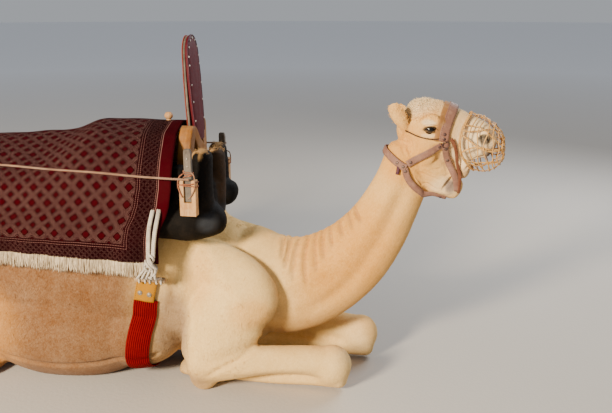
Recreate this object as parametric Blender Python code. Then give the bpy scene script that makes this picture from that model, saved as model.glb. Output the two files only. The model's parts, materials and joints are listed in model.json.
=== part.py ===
"""A couched dromedary in riding gear: still, life size, in metres, +X towards the head, +Z up.

The flesh is modelled whole from tubes and lumps, fused and smoothed, and then parted with thin cuts.
Everything that it wears is laid against the finished flesh with a small gap.
"""
import math

import bmesh
import bpy
import numpy as np
from mathutils import Matrix, Vector
from mathutils.bvhtree import BVHTree

# ---- driving sizes, in metres ----
ORIGIN_SHIFT = Vector((0.131, 0.0, 0.0))  # puts the middle of the whole box over the origin
VOXEL = 0.012            # cell of the fused flesh
FLESH_TRIANGLES = 1740
HEAD_DETAIL = 0.36       # how much finer the head stays than the rest
GAP = 0.0004             # between pieces that touch
COAT_GAP = 0.003         # between the flesh and what lies on it
LEFT_KNEE_AHEAD = 0.075  # the left foreleg lies this far ahead of the right one
LEFT_PAD_LOW = 0.060     # and its rolls stand this much lower
LEFT_PAD_BACK = 0.088    # the left end of the saddle's front sits this far behind the right one

HUMP_TOP = 1.018
HUMP_MIDDLE_X = -0.70
EYE_RADIUS = 0.0235
EYE_CENTRE = Vector((0.930, 0.0700, 1.112))
EAR_ROOT = Vector((0.830, 0.064, 1.112))
EAR_TIP = Vector((0.782, 0.100, 1.214))
LEFT_EAR_DROP = 0.032    # the left ear lies back lower than the right one
EAR_HALF_WIDTH, EAR_HALF_THICK = 0.037, 0.011

RUG_REAR = -1.13
# the front edge of the rug: share of the way from the ridge to the lower edge, x
RUG_FRONT = [(0, -0.105), (0.22, -0.090), (0.40, -0.082), (0.56, -0.086), (0.66, -0.112), (0.77, -0.148),
             (0.94, -0.186), (1.0, -0.192)]
RUG_THICK = 0.009
FRINGE_LENGTH = 0.078
FRINGE_THICK = 0.006
RUG_EDGE_Z = 0.587

# upright rolls at the front of each pad: x, y, z, half width, half depth
PAD_ROLLS = [
    [(0.048, 0.258, 0.76, 0.062, 0.050), (0.048, 0.252, 0.88, 0.058, 0.048), (0.050, 0.242, 1.010, 0.056, 0.046)],
    [(0.058, 0.125, 0.76, 0.068, 0.046), (0.062, 0.112, 0.88, 0.064, 0.044), (0.066, 0.104, 0.995, 0.056, 0.042)],
    [(-0.040, 0.268, 0.76, 0.060, 0.056), (-0.040, 0.262, 0.87, 0.056, 0.052), (-0.038, 0.254, 0.945, 0.050, 0.046)],
]
SEAT_THICK = 0.020
SEAT_FRONT = [(-0.345, 0.870), (-0.315, 0.940), (-0.255, 1.005), (-0.150, 1.060), (0.0, 1.085)]
YOKE_FRONT = [(0.185, 0.925), (0.165, 1.005), (0.122, 1.078), (0.060, 1.020), (0.0, 0.986)]
YOKE_REAR = [(0.235, 0.850), (0.188, 0.920), (0.140, 0.990), (0.060, 0.965), (0.0, 0.950)]
POST = (0.033, 0.364, 0.952)
SEAT_REAR = [(-0.290, 0.850), (-0.250, 0.910), (-0.190, 0.955), (-0.110, 0.985), (0.0, 0.998)]

BASKET_WALL = 0.005
STRAP_THICK = 0.005

# ---- centrelines of the flesh: x, y, z, half width, half depth square to the run ----
TRUNK = [
    (0.25, 0, 0.405, 0.160, 0.205), (0.14, 0, 0.385, 0.205, 0.290), (0.0, 0, 0.385, 0.240, 0.335),
    (-0.20, 0, 0.430, 0.300, 0.395), (-0.45, 0, 0.445, 0.345, 0.430), (-0.72, 0, 0.450, 0.350, 0.430),
    (-0.97, 0, 0.475, 0.305, 0.385), (-1.16, 0, 0.510, 0.240, 0.285), (-1.27, 0, 0.535, 0.170, 0.190),
]
NECK = [
    (0.16, 0, 0.415, 0.175, 0.245), (0.27, 0, 0.396, 0.158, 0.232), (0.36, 0, 0.402, 0.142, 0.221),
    (0.45, 0, 0.428, 0.126, 0.204), (0.542, 0, 0.479, 0.112, 0.184), (0.635, 0, 0.558, 0.101, 0.162),
    (0.717, 0, 0.664, 0.093, 0.139), (0.777, 0, 0.775, 0.088, 0.121), (0.825, 0, 0.888, 0.084, 0.110),
    (0.854, 0, 1.00, 0.078, 0.100),
]
CRANIUM = [
    (0.838, 0, 1.105, 0.064, 0.075), (0.882, 0, 1.103, 0.080, 0.110), (0.94, 0, 1.103, 0.088, 0.117),
    (1.0, 0, 1.085, 0.077, 0.113), (1.055, 0, 1.070, 0.060, 0.106), (1.11, 0, 1.062, 0.056, 0.089),
    (1.143, 0, 1.051, 0.055, 0.074), (1.158, 0, 1.044, 0.049, 0.060),
]
JAW = [
    (0.862, 0, 1.01, 0.072, 0.088), (0.918, 0, 0.955, 0.068, 0.084), (0.968, 0, 0.905, 0.057, 0.075),
    (1.008, 0, 0.876, 0.047, 0.058), (1.042, 0, 0.860, 0.040, 0.047),
]
SHOULDER = [
    (-0.05, 0.14, 0.58, 0.08, 0.08), (0.05, 0.163, 0.525, 0.090, 0.110), (0.145, 0.183, 0.465, 0.095, 0.135),
    (0.203, 0.192, 0.40, 0.095, 0.140), (0.19, 0.205, 0.345, 0.095, 0.13),
]
UPPER_ARM = [
    (0.20, 0.205, 0.40, 0.085, 0.125), (0.145, 0.220, 0.34, 0.095, 0.165), (0.085, 0.238, 0.24, 0.095, 0.155),
    (0.045, 0.25, 0.14, 0.085, 0.125),
]
FOREARM = [
    (0.014, 0.255, 0.115, 0.088, 0.105), (0.16, 0.25, 0.13, 0.078, 0.078), (0.33, 0.222, 0.138, 0.062, 0.063),
    (0.49, 0.19, 0.134, 0.064, 0.066), (0.570, 0.175, 0.115, 0.074, 0.084),
]
FORE_CANNON = [
    (0.60, 0.165, 0.06, 0.055, 0.052), (0.48, 0.165, 0.043, 0.042, 0.038), (0.30, 0.175, 0.040, 0.036, 0.036),
    (0.16, 0.172, 0.046, 0.045, 0.044),
]
FORE_FOOT = [
    (0.15, 0.17, 0.048, 0.050, 0.044), (0.06, 0.158, 0.050, 0.070, 0.046), (-0.04, 0.150, 0.044, 0.076, 0.040),
    (-0.09, 0.148, 0.040, 0.066, 0.032),
]
THIGH = [
    (-1.15, 0.12, 0.66, 0.09, 0.15), (-1.11, 0.19, 0.53, 0.12, 0.205), (-1.06, 0.25, 0.39, 0.120, 0.195),
    (-1.015, 0.285, 0.27, 0.105, 0.145),
]
GASKIN = [
    (-1.02, 0.29, 0.225, 0.095, 0.12), (-1.16, 0.285, 0.175, 0.078, 0.088), (-1.32, 0.27, 0.135, 0.055, 0.062),
    (-1.405, 0.262, 0.10, 0.055, 0.066),
]
HIND_CANNON = [
    (-1.42, 0.262, 0.068, 0.050, 0.055), (-1.31, 0.268, 0.046, 0.042, 0.041), (-1.16, 0.28, 0.042, 0.038, 0.037),
    (-1.07, 0.288, 0.050, 0.048, 0.046),
]
HIND_FOOT = [
    (-1.08, 0.29, 0.05, 0.055, 0.045), (-1.02, 0.300, 0.048, 0.078, 0.046), (-0.96, 0.31, 0.038, 0.080, 0.036),
    (-0.92, 0.315, 0.032, 0.070, 0.028),
]
TAIL = [
    (-1.27, 0, 0.66, 0.06, 0.05), (-1.375, 0.01, 0.60, 0.040, 0.032), (-1.43, 0.02, 0.49, 0.028, 0.025),
    (-1.448, 0.028, 0.38, 0.026, 0.024), (-1.455, 0.032, 0.28, 0.038, 0.034), (-1.458, 0.036, 0.17, 0.034, 0.030),
    (-1.46, 0.04, 0.07, 0.014, 0.014),
]
# lumps on each side: centre (y to the left), radii
SIDE_LUMPS = [
    ((0.938, 0.064, 1.146), (0.046, 0.032, 0.026)),   # brow
    ((0.915, 0.060, 1.035), (0.052, 0.026, 0.080)),   # cheek muscle
    ((1.140, 0.036, 1.085), (0.034, 0.023, 0.030)),   # nostril wing
    ((0.568, 0.172, 0.113), (0.085, 0.077, 0.091)),   # knee
    ((0.030, 0.258, 0.060), (0.068, 0.056, 0.070)),   # elbow pad
    ((-1.15, 0.14, 0.69), (0.11, 0.08, 0.09)),        # hip
    ((-0.31, 0.150, 0.212), (0.23, 0.187, 0.180)),    # chest behind the elbow
    ((-0.64, 0.145, 0.205), (0.45, 0.245, 0.25)),    # belly, spread by its own weight
]
MIDDLE_LUMPS = [
    ((HUMP_MIDDLE_X, 0, 0.83), (0.30, 0.17, HUMP_TOP - 0.82)),
    ((0.03, 0, 0.075), (0.13, 0.11, 0.10)),           # breast pad
    ((0.902, 0, 1.150), (0.080, 0.062, 0.076)),       # crown
    ((1.030, 0, 0.938), (0.036, 0.047, 0.046)),       # where the lips meet
    ((1.072, 0, 0.955), (0.028, 0.046, 0.052)),       # hanging lip
]

COLOURS = {
    "coat": (0.62, 0.45, 0.28, 0.9, 0.0), "eye": (0.02, 0.012, 0.008, 0.12, 0.0),
    "rug": (0.22, 0.03, 0.04, 0.95, 0.0), "fringe": (0.62, 0.58, 0.48, 0.95, 0.0),
    "pad": (0.025, 0.023, 0.022, 0.7, 0.0), "wood": (0.60, 0.38, 0.18, 0.7, 0.0),
    "yellow_wood": (0.62, 0.36, 0.07, 0.6, 0.0), "grey_wood": (0.28, 0.25, 0.22, 0.8, 0.0),
    "red_leather": (0.45, 0.05, 0.05, 0.55, 0.0), "halter": (0.36, 0.22, 0.20, 0.6, 0.0),
    "cane": (0.66, 0.46, 0.20, 0.6, 0.0), "cord": (0.66, 0.60, 0.50, 0.9, 0.0),
    "girth": (0.50, 0.01, 0.01, 0.7, 0.0), "yellow_leather": (0.75, 0.50, 0.02, 0.5, 0.0),
}


# ---- tools ----
def material(name):
    """The Principled material of that name: colour, roughness and metal."""
    found = bpy.data.materials.get(name)
    if found is None:
        found = bpy.data.materials.new(name)
        found.use_nodes = True
        red, green, blue, rough, metal = COLOURS[name]
        shader = found.node_tree.nodes["Principled BSDF"]
        shader.inputs["Base Color"].default_value = (red, green, blue, 1)
        shader.inputs["Roughness"].default_value = rough
        shader.inputs["Metallic"].default_value = metal
    return found


def new_object(name, mesh, paint=None):
    obj = bpy.data.objects.new(name, mesh)
    bpy.context.scene.collection.objects.link(obj)
    if paint:
        mesh.materials.clear()
        mesh.materials.append(material(paint))
    return obj


def mesh_of(bm, name):
    bmesh.ops.recalc_face_normals(bm, faces=bm.faces)
    mesh = bpy.data.meshes.new(name)
    bm.to_mesh(mesh)
    bm.free()
    return mesh


def smooth_rows(rows, steps):
    """Rows of numbers carried through a Catmull-Rom curve, with steps points to each span."""
    rows = np.array(rows, float)
    ends = np.vstack([2 * rows[0] - rows[1], rows, 2 * rows[-1] - rows[-2]])
    out = []
    for i in range(len(rows) - 1):
        a, b, c, d = ends[i:i + 4]
        for t in np.arange(steps) / steps:
            out.append(0.5 * (2 * b + (c - a) * t + (2 * a - 5 * b + 4 * c - d) * t * t
                              + (3 * b - a - 3 * c + d) * t ** 3))
    out.append(rows[-1])
    return np.array(out)


def power_ring(count, power):
    """A superellipse of unit radii: 2 is a circle, and more is squarer."""
    angle = np.arange(count) * 2 * math.pi / count
    cos, sin = np.cos(angle), np.sin(angle)
    shrink = 2 / power
    return np.sign(cos) * np.abs(cos) ** shrink, np.sign(sin) * np.abs(sin) ** shrink


def bridge(bm, rings):
    """Side faces between rings of vertices, with a fan over each end."""
    for low, high in zip(rings, rings[1:]):
        for k in range(len(low)):
            n = (k + 1) % len(low)
            bm.faces.new((low[k], low[n], high[n], high[k]))
    bm.faces.new(rings[0][::-1])
    bm.faces.new(rings[-1])


def tube(bm, rows, sides=24, steps=5, side=(0, 1, 0), power=2.0, cap=0.7):
    """A closed tube along rows of x, y, z, half width along side, half depth, with round ends."""
    run = smooth_rows(rows, steps)
    tangent = np.gradient(run[:, :3], axis=0)
    tangent /= np.linalg.norm(tangent, axis=1)[:, None]
    across, around = power_ring(sides, power)
    caps = [(math.sin(a), math.cos(a)) for a in np.radians([80, 55, 28] if cap > 0.3 else [60])]
    sections = [(0, -s, c) for s, c in caps] + [(i, 0, 1) for i in range(len(run))]
    sections += [(len(run) - 1, s, c) for s, c in caps[::-1]]
    rings = []
    for i, out, shrink in sections:
        t = Vector(tangent[i])
        w = Vector(side) - t * t.dot(Vector(side))
        w.normalize()
        h = t.cross(w)
        wide, deep = run[i, 3], run[i, 4]
        middle = Vector(run[i, :3]) + t * out * cap * min(wide, deep)
        rings.append([bm.verts.new(middle + w * a * wide * shrink + h * b * deep * shrink)
                      for a, b in zip(across, around)])
    bridge(bm, rings)


def lump(bm, centre, radii):
    """An ellipsoid."""
    made = bmesh.ops.create_uvsphere(bm, u_segments=24, v_segments=14, radius=1.0)
    for vert in made["verts"]:
        vert.co = Vector(centre) + Vector(c * r for c, r in zip(vert.co, radii))


def mirrored(rows, ahead=0.0):
    """The same run on the camel's right side; the left one is moved ahead by that much."""
    right = [(x, -y, z, *rest) for x, y, z, *rest in rows]
    left = [(x + ahead, y, z, *rest) for x, y, z, *rest in rows]
    return right, left


def applied(obj):
    """The object's mesh as its modifiers leave it."""
    graph = bpy.context.evaluated_depsgraph_get()
    mesh = bpy.data.meshes.new_from_object(obj.evaluated_get(graph))
    obj.modifiers.clear()
    obj.data = mesh
    return obj


def boolean(obj, other, operation):
    cut = obj.modifiers.new("cut", "BOOLEAN")
    cut.object = other
    cut.operation = operation
    cut.solver = "EXACT"
    applied(obj)


def box_object(low, high):
    bm = bmesh.new()
    bmesh.ops.create_cube(bm, size=1.0)
    low, high = Vector(low), Vector(high)
    for vert in bm.verts:
        vert.co = Vector(lo + (c + 0.5) * (hi - lo) for c, lo, hi in zip(vert.co, low, high))
    return new_object("cutter", mesh_of(bm, "cutter"))


def half_space(point, normal, reach=4.0):
    """A big block on the far side of a plane."""
    block = box_object((-reach, -reach, 0), (reach, reach, reach))
    turn = Vector((0, 0, 1)).rotation_difference(Vector(normal).normalized()).to_matrix().to_4x4()
    block.data.transform(Matrix.Translation(Vector(point)) @ turn)
    return block


def remove(*objects):
    for obj in objects:
        bpy.data.objects.remove(obj)


def largest_part(obj):
    """Drops loose crumbs that a cut leaves."""
    bm = bmesh.new()
    bm.from_mesh(obj.data)
    left, best = set(bm.verts), []
    while left:
        stack, group = [left.pop()], []
        while stack:
            vert = stack.pop()
            group.append(vert)
            for edge in vert.link_edges:
                other = edge.other_vert(vert)
                if other in left:
                    left.discard(other)
                    stack.append(other)
        if len(group) > len(best):
            best = group
    keep = set(best)
    bmesh.ops.delete(bm, geom=[v for v in bm.verts if v not in keep], context="VERTS")
    bm.to_mesh(obj.data)
    bm.free()


def split_off(whole, name, cutter_at):
    """Takes the part of whole inside a cutter away as its own node, with a thin gap. cutter_at(margin) makes it."""
    part = new_object(name, whole.data.copy())
    inner, outer = cutter_at(-GAP), cutter_at(0.0)
    boolean(part, inner, "INTERSECT")
    boolean(whole, outer, "DIFFERENCE")
    remove(inner, outer)
    largest_part(part)
    return part


def cut_clear(obj, other, gap):
    """Cuts obj back so that it stays that far off another object."""
    grown = new_object("grown", other.data.copy())
    swell = grown.modifiers.new("swell", "DISPLACE")
    swell.strength = gap
    swell.mid_level = 0.0
    applied(grown)
    boolean(obj, grown, "DIFFERENCE")
    remove(grown)
    largest_part(obj)


# ---- flesh ----
def fused_flesh():
    """All the flesh as one smooth closed skin, cut flat where it rests on the floor."""
    bm = bmesh.new()
    for rows in (TRUNK, NECK, CRANIUM, JAW, TAIL):
        tube(bm, rows)
    for rows, ahead in ((SHOULDER, 0.0), (UPPER_ARM, 0.0), (FOREARM, LEFT_KNEE_AHEAD), (FORE_CANNON, LEFT_KNEE_AHEAD),
                        (FORE_FOOT, LEFT_KNEE_AHEAD), (THIGH, 0.0), (GASKIN, 0.0), (HIND_CANNON, 0.0),
                        (HIND_FOOT, 0.0)):
        for run in mirrored(rows, ahead):
            tube(bm, run)
    for centre, radii in MIDDLE_LUMPS:
        lump(bm, centre, radii)
    for (x, y, z), radii in SIDE_LUMPS:
        lump(bm, (x, -y, z), radii)
        foreleg = 0.0 <= x < 0.8 and z < 0.2
        lump(bm, (x + (LEFT_KNEE_AHEAD if foreleg else 0.0), y, z), radii)
    flesh = new_object("flesh", mesh_of(bm, "flesh"))
    fuse = flesh.modifiers.new("fuse", "REMESH")
    fuse.mode = "VOXEL"
    fuse.voxel_size = VOXEL
    even = flesh.modifiers.new("even", "SMOOTH")
    even.factor = 0.5
    even.iterations = 9
    applied(flesh)
    plain = flesh.vertex_groups.new(name="plain")
    for vert in flesh.data.vertices:
        head = vert.co.z > 0.80 and vert.co.x > 0.74
        plain.add([vert.index], 1 - HEAD_DETAIL if head else 1.0, "REPLACE")
    thin = flesh.modifiers.new("thin", "DECIMATE")
    thin.ratio = FLESH_TRIANGLES / (2 * len(flesh.data.polygons))
    thin.vertex_group = "plain"
    thin.vertex_group_factor = 0.25
    applied(flesh)
    floor = half_space((0, 0, 0), (0, 0, -1))
    boolean(flesh, floor, "DIFFERENCE")
    remove(floor)
    largest_part(flesh)
    return flesh


def plane_cutter(point, normal):
    normal = Vector(normal).normalized()
    return lambda margin: half_space(Vector(point) - normal * margin, normal)


def box_cutter(low, high):
    low, high = Vector(low), Vector(high)
    grow = Vector((1, 1, 1))
    return lambda margin: box_object(low - grow * margin, high + grow * margin)


def parted_flesh():
    flesh = fused_flesh()
    kept = flesh.data.copy()
    kept.name = "flesh_whole"
    parts = {}
    for side, low, high in (("right", -0.6, -0.115), ("left", 0.115, 0.6)):
        parts["foreleg_" + side] = split_off(
            flesh, "foreleg_" + side, box_cutter((-0.13, low, -1), (0.9, high, 0.232)))
        parts["hindleg_" + side] = split_off(
            flesh, "hindleg_" + side, box_cutter((-1.6, low, -1), (-0.88, high, 0.40)))
    parts["head"] = split_off(flesh, "head", plane_cutter((0.845, 0, 0.975), (0.58, 0, 0.81)))
    parts["neck"] = split_off(flesh, "neck", plane_cutter((0.375, 0, 0.45), (0.96, 0, 0.28)))
    parts["tail"] = split_off(flesh, "tail", box_cutter((-1.7, -0.070, 0), (-1.372, 0.120, 0.9)))
    parts["trunk"] = new_object("trunk", flesh.data)
    largest_part(parts["trunk"])
    remove(flesh)
    for part in parts.values():
        part.data.materials.clear()
        part.data.materials.append(material("coat"))
    return parts


# ---- laying things against what is under them ----
def tree_of(*objects):
    """One search tree over all the given meshes."""
    verts, faces = [], []
    for obj in objects:
        base = len(verts)
        verts += [v.co.copy() for v in obj.data.vertices]
        faces += [[base + i for i in p.vertices] for p in obj.data.polygons]
    return BVHTree.FromPolygons(verts, faces)


def ring_solid(name, rings, paint, closed=False):
    """A closed body from rings of points; closed joins the last ring to the first one."""
    bm = bmesh.new()
    made = [[bm.verts.new(p) for p in ring] for ring in rings]
    if closed:
        count = len(made[0])
        for low, high in zip(made, made[1:] + made[:1]):
            for k in range(count):
                n = (k + 1) % count
                bm.faces.new((low[k], low[n], high[n], high[k]))
    else:
        bridge(bm, made)
    return new_object(name, mesh_of(bm, name), paint)


def strap(name, path, width, paint, tree, thick=STRAP_THICK, steps=3, gap=COAT_GAP, closed=False):
    """A flat strap laid along path on a surface: every section follows the surface under it."""
    if closed:
        count = len(path)
        path = list(path) * 3
        run = smooth_rows(path, steps)[count * steps:2 * count * steps]
    else:
        run = smooth_rows(path, steps)
    spots = [tree.find_nearest(Vector(p)) for p in run]
    centres = [s[0] for s in spots]
    rings = []
    for i, (spot, normal, _, _) in enumerate(spots):
        if closed:
            ahead, behind = centres[(i + 1) % len(run)], centres[i - 1]
        else:
            ahead, behind = centres[min(i + 1, len(run) - 1)], centres[max(i - 1, 0)]
        tangent = (ahead - behind).normalized()
        across = normal.cross(tangent).normalized()
        up = tangent.cross(across).normalized()
        inner, outer = [], []
        for k in (-0.5, 0.0, 0.5):
            reach = spot + across * width * k
            under, facing, _, _ = tree.find_nearest(reach)
            lift = max(0.0, (under - reach).dot(up)) + gap
            inner.append(under + up * gap if lift > gap else reach + up * ((under - reach).dot(up) + gap))
            outer.append(inner[-1] + up * thick)
        rings.append(inner + outer[::-1])
    return ring_solid(name, rings, paint, closed)


def side_strap(name, path, width, paint, tree, sign, thick=STRAP_THICK, steps=4):
    """A strap that hangs flat beside the surface and bridges its hollows."""
    run = smooth_rows(path, steps)
    tangent = np.gradient(run, axis=0)
    tangent[:, 1] = 0
    tangent /= np.linalg.norm(tangent, axis=1)[:, None]
    across = np.stack([-tangent[:, 2], 0 * tangent[:, 0], tangent[:, 0]], axis=1)
    far = []
    for spot, side in zip(run, across):
        hits = [tree.ray_cast(Vector((spot[0] + side[0] * k, sign, spot[2] + side[2] * k)),
                              Vector((0, -sign, 0)))[0] for k in (-width / 2, 0, width / 2)]
        far.append(max([abs(h.y) for h in hits if h] + [0.045]))
    far = np.array([max(far[max(0, i - 2):i + 3]) for i in range(len(far))])
    for _ in range(3):
        far = np.maximum(far, np.convolve(np.pad(far, 1, mode="edge"), (0.25, 0.5, 0.25), "valid"))
    rings = []
    for spot, side, y in zip(run, across, far + COAT_GAP):
        low, high = Vector(spot) - Vector(side) * width / 2, Vector(spot) + Vector(side) * width / 2
        rings.append([Vector((p.x, sign * v, p.z))
                      for p, v in ((low, y), (high, y), (high, y + thick), (low, y + thick))])
    return ring_solid(name, rings, paint)


def fused(name, bm, voxel, triangles, paint, rounds=4):
    """Overlapping closed pieces fused into one smooth body of about that many triangles."""
    obj = new_object(name, mesh_of(bm, name), paint)
    fuse = obj.modifiers.new("fuse", "REMESH")
    fuse.mode = "VOXEL"
    fuse.voxel_size = voxel
    even = obj.modifiers.new("even", "SMOOTH")
    even.factor = 0.5
    even.iterations = rounds
    applied(obj)
    thin = obj.modifiers.new("thin", "DECIMATE")
    thin.ratio = min(1.0, triangles / (2 * len(obj.data.polygons)))
    applied(obj)
    largest_part(obj)
    obj.data.materials.clear()
    obj.data.materials.append(material(paint))
    return obj


def rounded_box(name, size, bevel, paint, place=Matrix.Identity(4), segments=1):
    bm = bmesh.new()
    bmesh.ops.create_cube(bm, size=1.0)
    bmesh.ops.scale(bm, vec=size, verts=bm.verts)
    bmesh.ops.bevel(bm, geom=bm.edges[:], offset=bevel, segments=segments, affect="EDGES", profile=0.5)
    bmesh.ops.transform(bm, matrix=place, verts=bm.verts)
    return new_object(name, mesh_of(bm, name), paint)


def rod(name, rows, paint, sides=12, steps=4, power=2.0, side=(0, 1, 0), cap=0.5):
    bm = bmesh.new()
    tube(bm, rows, sides=sides, steps=steps, power=power, side=side, cap=cap)
    return new_object(name, mesh_of(bm, name), paint)


def flip(points):
    """The mirror image across the camel's middle plane."""
    return [(x, -y, *rest) for x, y, *rest in points]


def each_side():
    """right then left: a name ending and the sign of y."""
    return (("right", -1), ("left", 1))


# ---- head pieces ----
def ears_and_eyes(parts):
    for side, sign in each_side():
        centre = Vector((EYE_CENTRE.x, sign * EYE_CENTRE.y, EYE_CENTRE.z))
        for name, radius in (("eye_" + side, EYE_RADIUS), ("socket", EYE_RADIUS + GAP)):
            bm = bmesh.new()
            bmesh.ops.create_icosphere(bm, subdivisions=2, radius=radius)
            bmesh.ops.translate(bm, vec=centre, verts=bm.verts)
            made = new_object(name, mesh_of(bm, name), "eye")
        boolean(parts["head"], made, "DIFFERENCE")
        remove(made)
        largest_part(parts["head"])
        root = Vector((EAR_ROOT.x, sign * EAR_ROOT.y, EAR_ROOT.z))
        tip = Vector((EAR_TIP.x, sign * EAR_TIP.y, EAR_TIP.z - (LEFT_EAR_DROP if sign > 0 else 0)))
        rows = []
        for t, wide in ((0.0, 0.55), (0.22, 0.8), (0.5, 1.0), (0.78, 0.82), (0.96, 0.40)):
            rows.append((*root.lerp(tip, t), EAR_HALF_WIDTH * wide, EAR_HALF_THICK * (1.25 - 0.45 * t)))
        ear = rod("ear_" + side, rows, "coat", sides=8, steps=1, side=(0.88, sign * 0.30, 0.38))
        cut_clear(ear, parts["head"], GAP)


HEAD_PATHS = {
    # name: width, points x, y, z near the right side of the head
    "cheek_strap": (0.026, [(0.974, -0.077, 1.050), (0.945, -0.080, 1.030), (0.895, -0.080, 1.000),
                            (0.853, -0.078, 0.972)]),
    "front_strap": (0.024, [(0.998, -0.070, 1.028), (0.998, -0.062, 0.990), (1.022, -0.058, 0.945),
                            (1.046, -0.050, 0.900), (1.046, -0.040, 0.850)]),
    "jaw_strap": (0.024, [(0.846, -0.078, 0.946), (0.866, -0.076, 0.905), (0.905, -0.070, 0.870),
                          (0.960, -0.056, 0.838), (1.012, -0.040, 0.826)]),
}


def halter(parts):
    skin = tree_of(parts["head"], parts["neck"])
    over = [(0.990, -0.085, 1.075), (1.000, -0.075, 1.120), (1.018, -0.05, 1.165), (1.024, 0, 1.185)]
    strap("noseband", over + flip(over[:-1])[::-1], 0.040, "halter", skin, steps=4, gap=0.0035)
    behind = [(0.838, -0.085, 0.955), (0.812, -0.088, 0.975), (0.782, -0.075, 0.997), (0.762, 0, 1.015)]
    strap("crown_strap", behind + flip(behind[:-1])[::-1], 0.028, "halter", skin, gap=0.007)
    for side, sign in each_side():
        for name, (width, path) in HEAD_PATHS.items():
            if name == "front_strap":
                side_strap(name + "_" + side, path, width, "halter", skin, sign)
            else:
                strap(name + "_" + side, path if sign < 0 else flip(path), width, "halter", skin, steps=4, gap=0.0035)
        cord = [(0.836, -0.085, 1.099), (0.87, -0.085, 1.088), (0.92, -0.088, 1.078), (0.963, -0.085, 1.077)]
        strap("brow_cord_" + side, cord if sign < 0 else flip(cord), 0.008, "halter", skin, thick=0.006, steps=2)


def basket():
    """The muzzle basket as a thin cup: its rim reaches back along the cheeks."""
    def cup(shrink):
        rings = []
        for t in (0.0, 0.2, 0.42, 0.63, 0.82, 0.95):
            swell = (1 - t ** 2.6) ** 0.5
            ring = []
            for k in range(18):
                turn = 2 * math.pi * k / 18
                up, out = math.cos(turn), math.sin(turn)
                rim_x = 1.098 - 0.010 * up - 0.052 * out * out
                x = rim_x + (1.233 - shrink - rim_x) * t
                ring.append(Vector((x, (0.086 - shrink) * swell * out,
                                    1.058 - 0.026 * t + (0.117 - shrink) * swell * up)))
            rings.append(ring)
        return rings
    outer, inner = cup(0.0), cup(BASKET_WALL)
    return ring_solid("muzzle_basket", [r for r in inner[::-1]] + outer, "cane")


# ---- saddle ----
def pads(flesh):
    made = []
    for side, sign in each_side():
        bm = bmesh.new()
        roll = [(0.075, 0.225, 0.745, 0.080, 0.078), (0.02, 0.262, 0.742, 0.080, 0.085),
                (-0.12, 0.290, 0.755, 0.075, 0.090), (-0.35, 0.285, 0.815, 0.070, 0.075),
                (-0.65, 0.275, 0.835, 0.070, 0.070), (-0.95, 0.255, 0.80, 0.070, 0.070),
                (-1.20, 0.185, 0.755, 0.070, 0.065)]
        tube(bm, [(x, sign * y, z, w, h) for x, y, z, w, h in roll], sides=16, steps=4)
        for rows in PAD_ROLLS:
            tube(bm, [(x, sign * y, z, w, h) for x, y, z, w, h in rows], sides=16, steps=3, cap=0.8)
        lump(bm, (0.045, sign * 0.18, 0.82), (0.042, 0.06, 0.12))
        if sign > 0:
            for vert in bm.verts:
                vert.co.z -= LEFT_PAD_LOW * min(1, max(0, (vert.co.z - 0.78) / 0.2))
                vert.co.x -= LEFT_PAD_BACK * min(1, max(0, (vert.co.x + 0.45) / 0.25))
        pad = fused("pad_" + side, bm, 0.010, 330, "pad")
        cut_clear(pad, flesh, 0.002)
        split = box_object((-2, 0.0015 if sign > 0 else -1, -1), (2, 1 if sign > 0 else -0.0015, 2))
        boolean(pad, split, "INTERSECT")
        remove(split)
        made.append(pad)
    return made


def arch(name, x, half_side, half, paint, back=0.0):
    """A wooden arch across the back: half_side runs (y, z) from the right foot up to the middle, and the left foot
    is set back."""
    reach = half_side[0][0]
    rows = [(x, -y, z, *half) for y, z in half_side]
    rows += [(x - back * y / reach, y, z, *half) for y, z in half_side[:-1][::-1]]
    return rod(name, rows, paint, sides=8, steps=1, power=4.0, side=(1, 0, 0), cap=0.25)


def seat_board(name, reach, profile):
    """The bent board that carries the rug between the arches, from one x to the other."""
    over = [(y, z) for y, z in profile] + [(-y, z) for y, z in profile[:-1][::-1]]
    under = [(y * 0.97 if y else 0.0, z - SEAT_THICK) for y, z in over]
    rings = [[Vector((x, y, z)) for y, z in over + under[::-1]] for x in reach]
    return ring_solid(name, rings, "wood")


def paddle(name, base, height, half_wide, lean, foot_thick):
    """The leather-covered board that stands on an arch, with a round top: thicker at its foot, and leaning back."""
    rows = []
    for t, wide in ((0.0, 0.62), (0.12, 0.80), (0.35, 0.95), (0.62, 1.0), (0.82, 0.93), (0.94, 0.66)):
        thick = 0.0165 + (foot_thick - 0.0165) * (1 - t) ** 2
        rows.append((base[0] - lean * height * t, base[1], base[2] + height * t, half_wide * wide, thick))
    return rod(name, rows, "red_leather", sides=10, steps=1, power=3.0, cap=0.9)


def fork(name, middle, sign, slot, low):
    """A pine block with a slot open at its top."""
    block = rounded_box(name, (0.066, 0.030, 0.142), 0.003, "wood", Matrix.Translation(middle))
    cutter = box_object((middle[0] - slot, -1 if sign < 0 else 0, middle[2] + low),
                        (middle[0] + slot, 0 if sign < 0 else 1, middle[2] + 1))
    boolean(block, cutter, "DIFFERENCE")
    remove(cutter)
    return block


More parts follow.
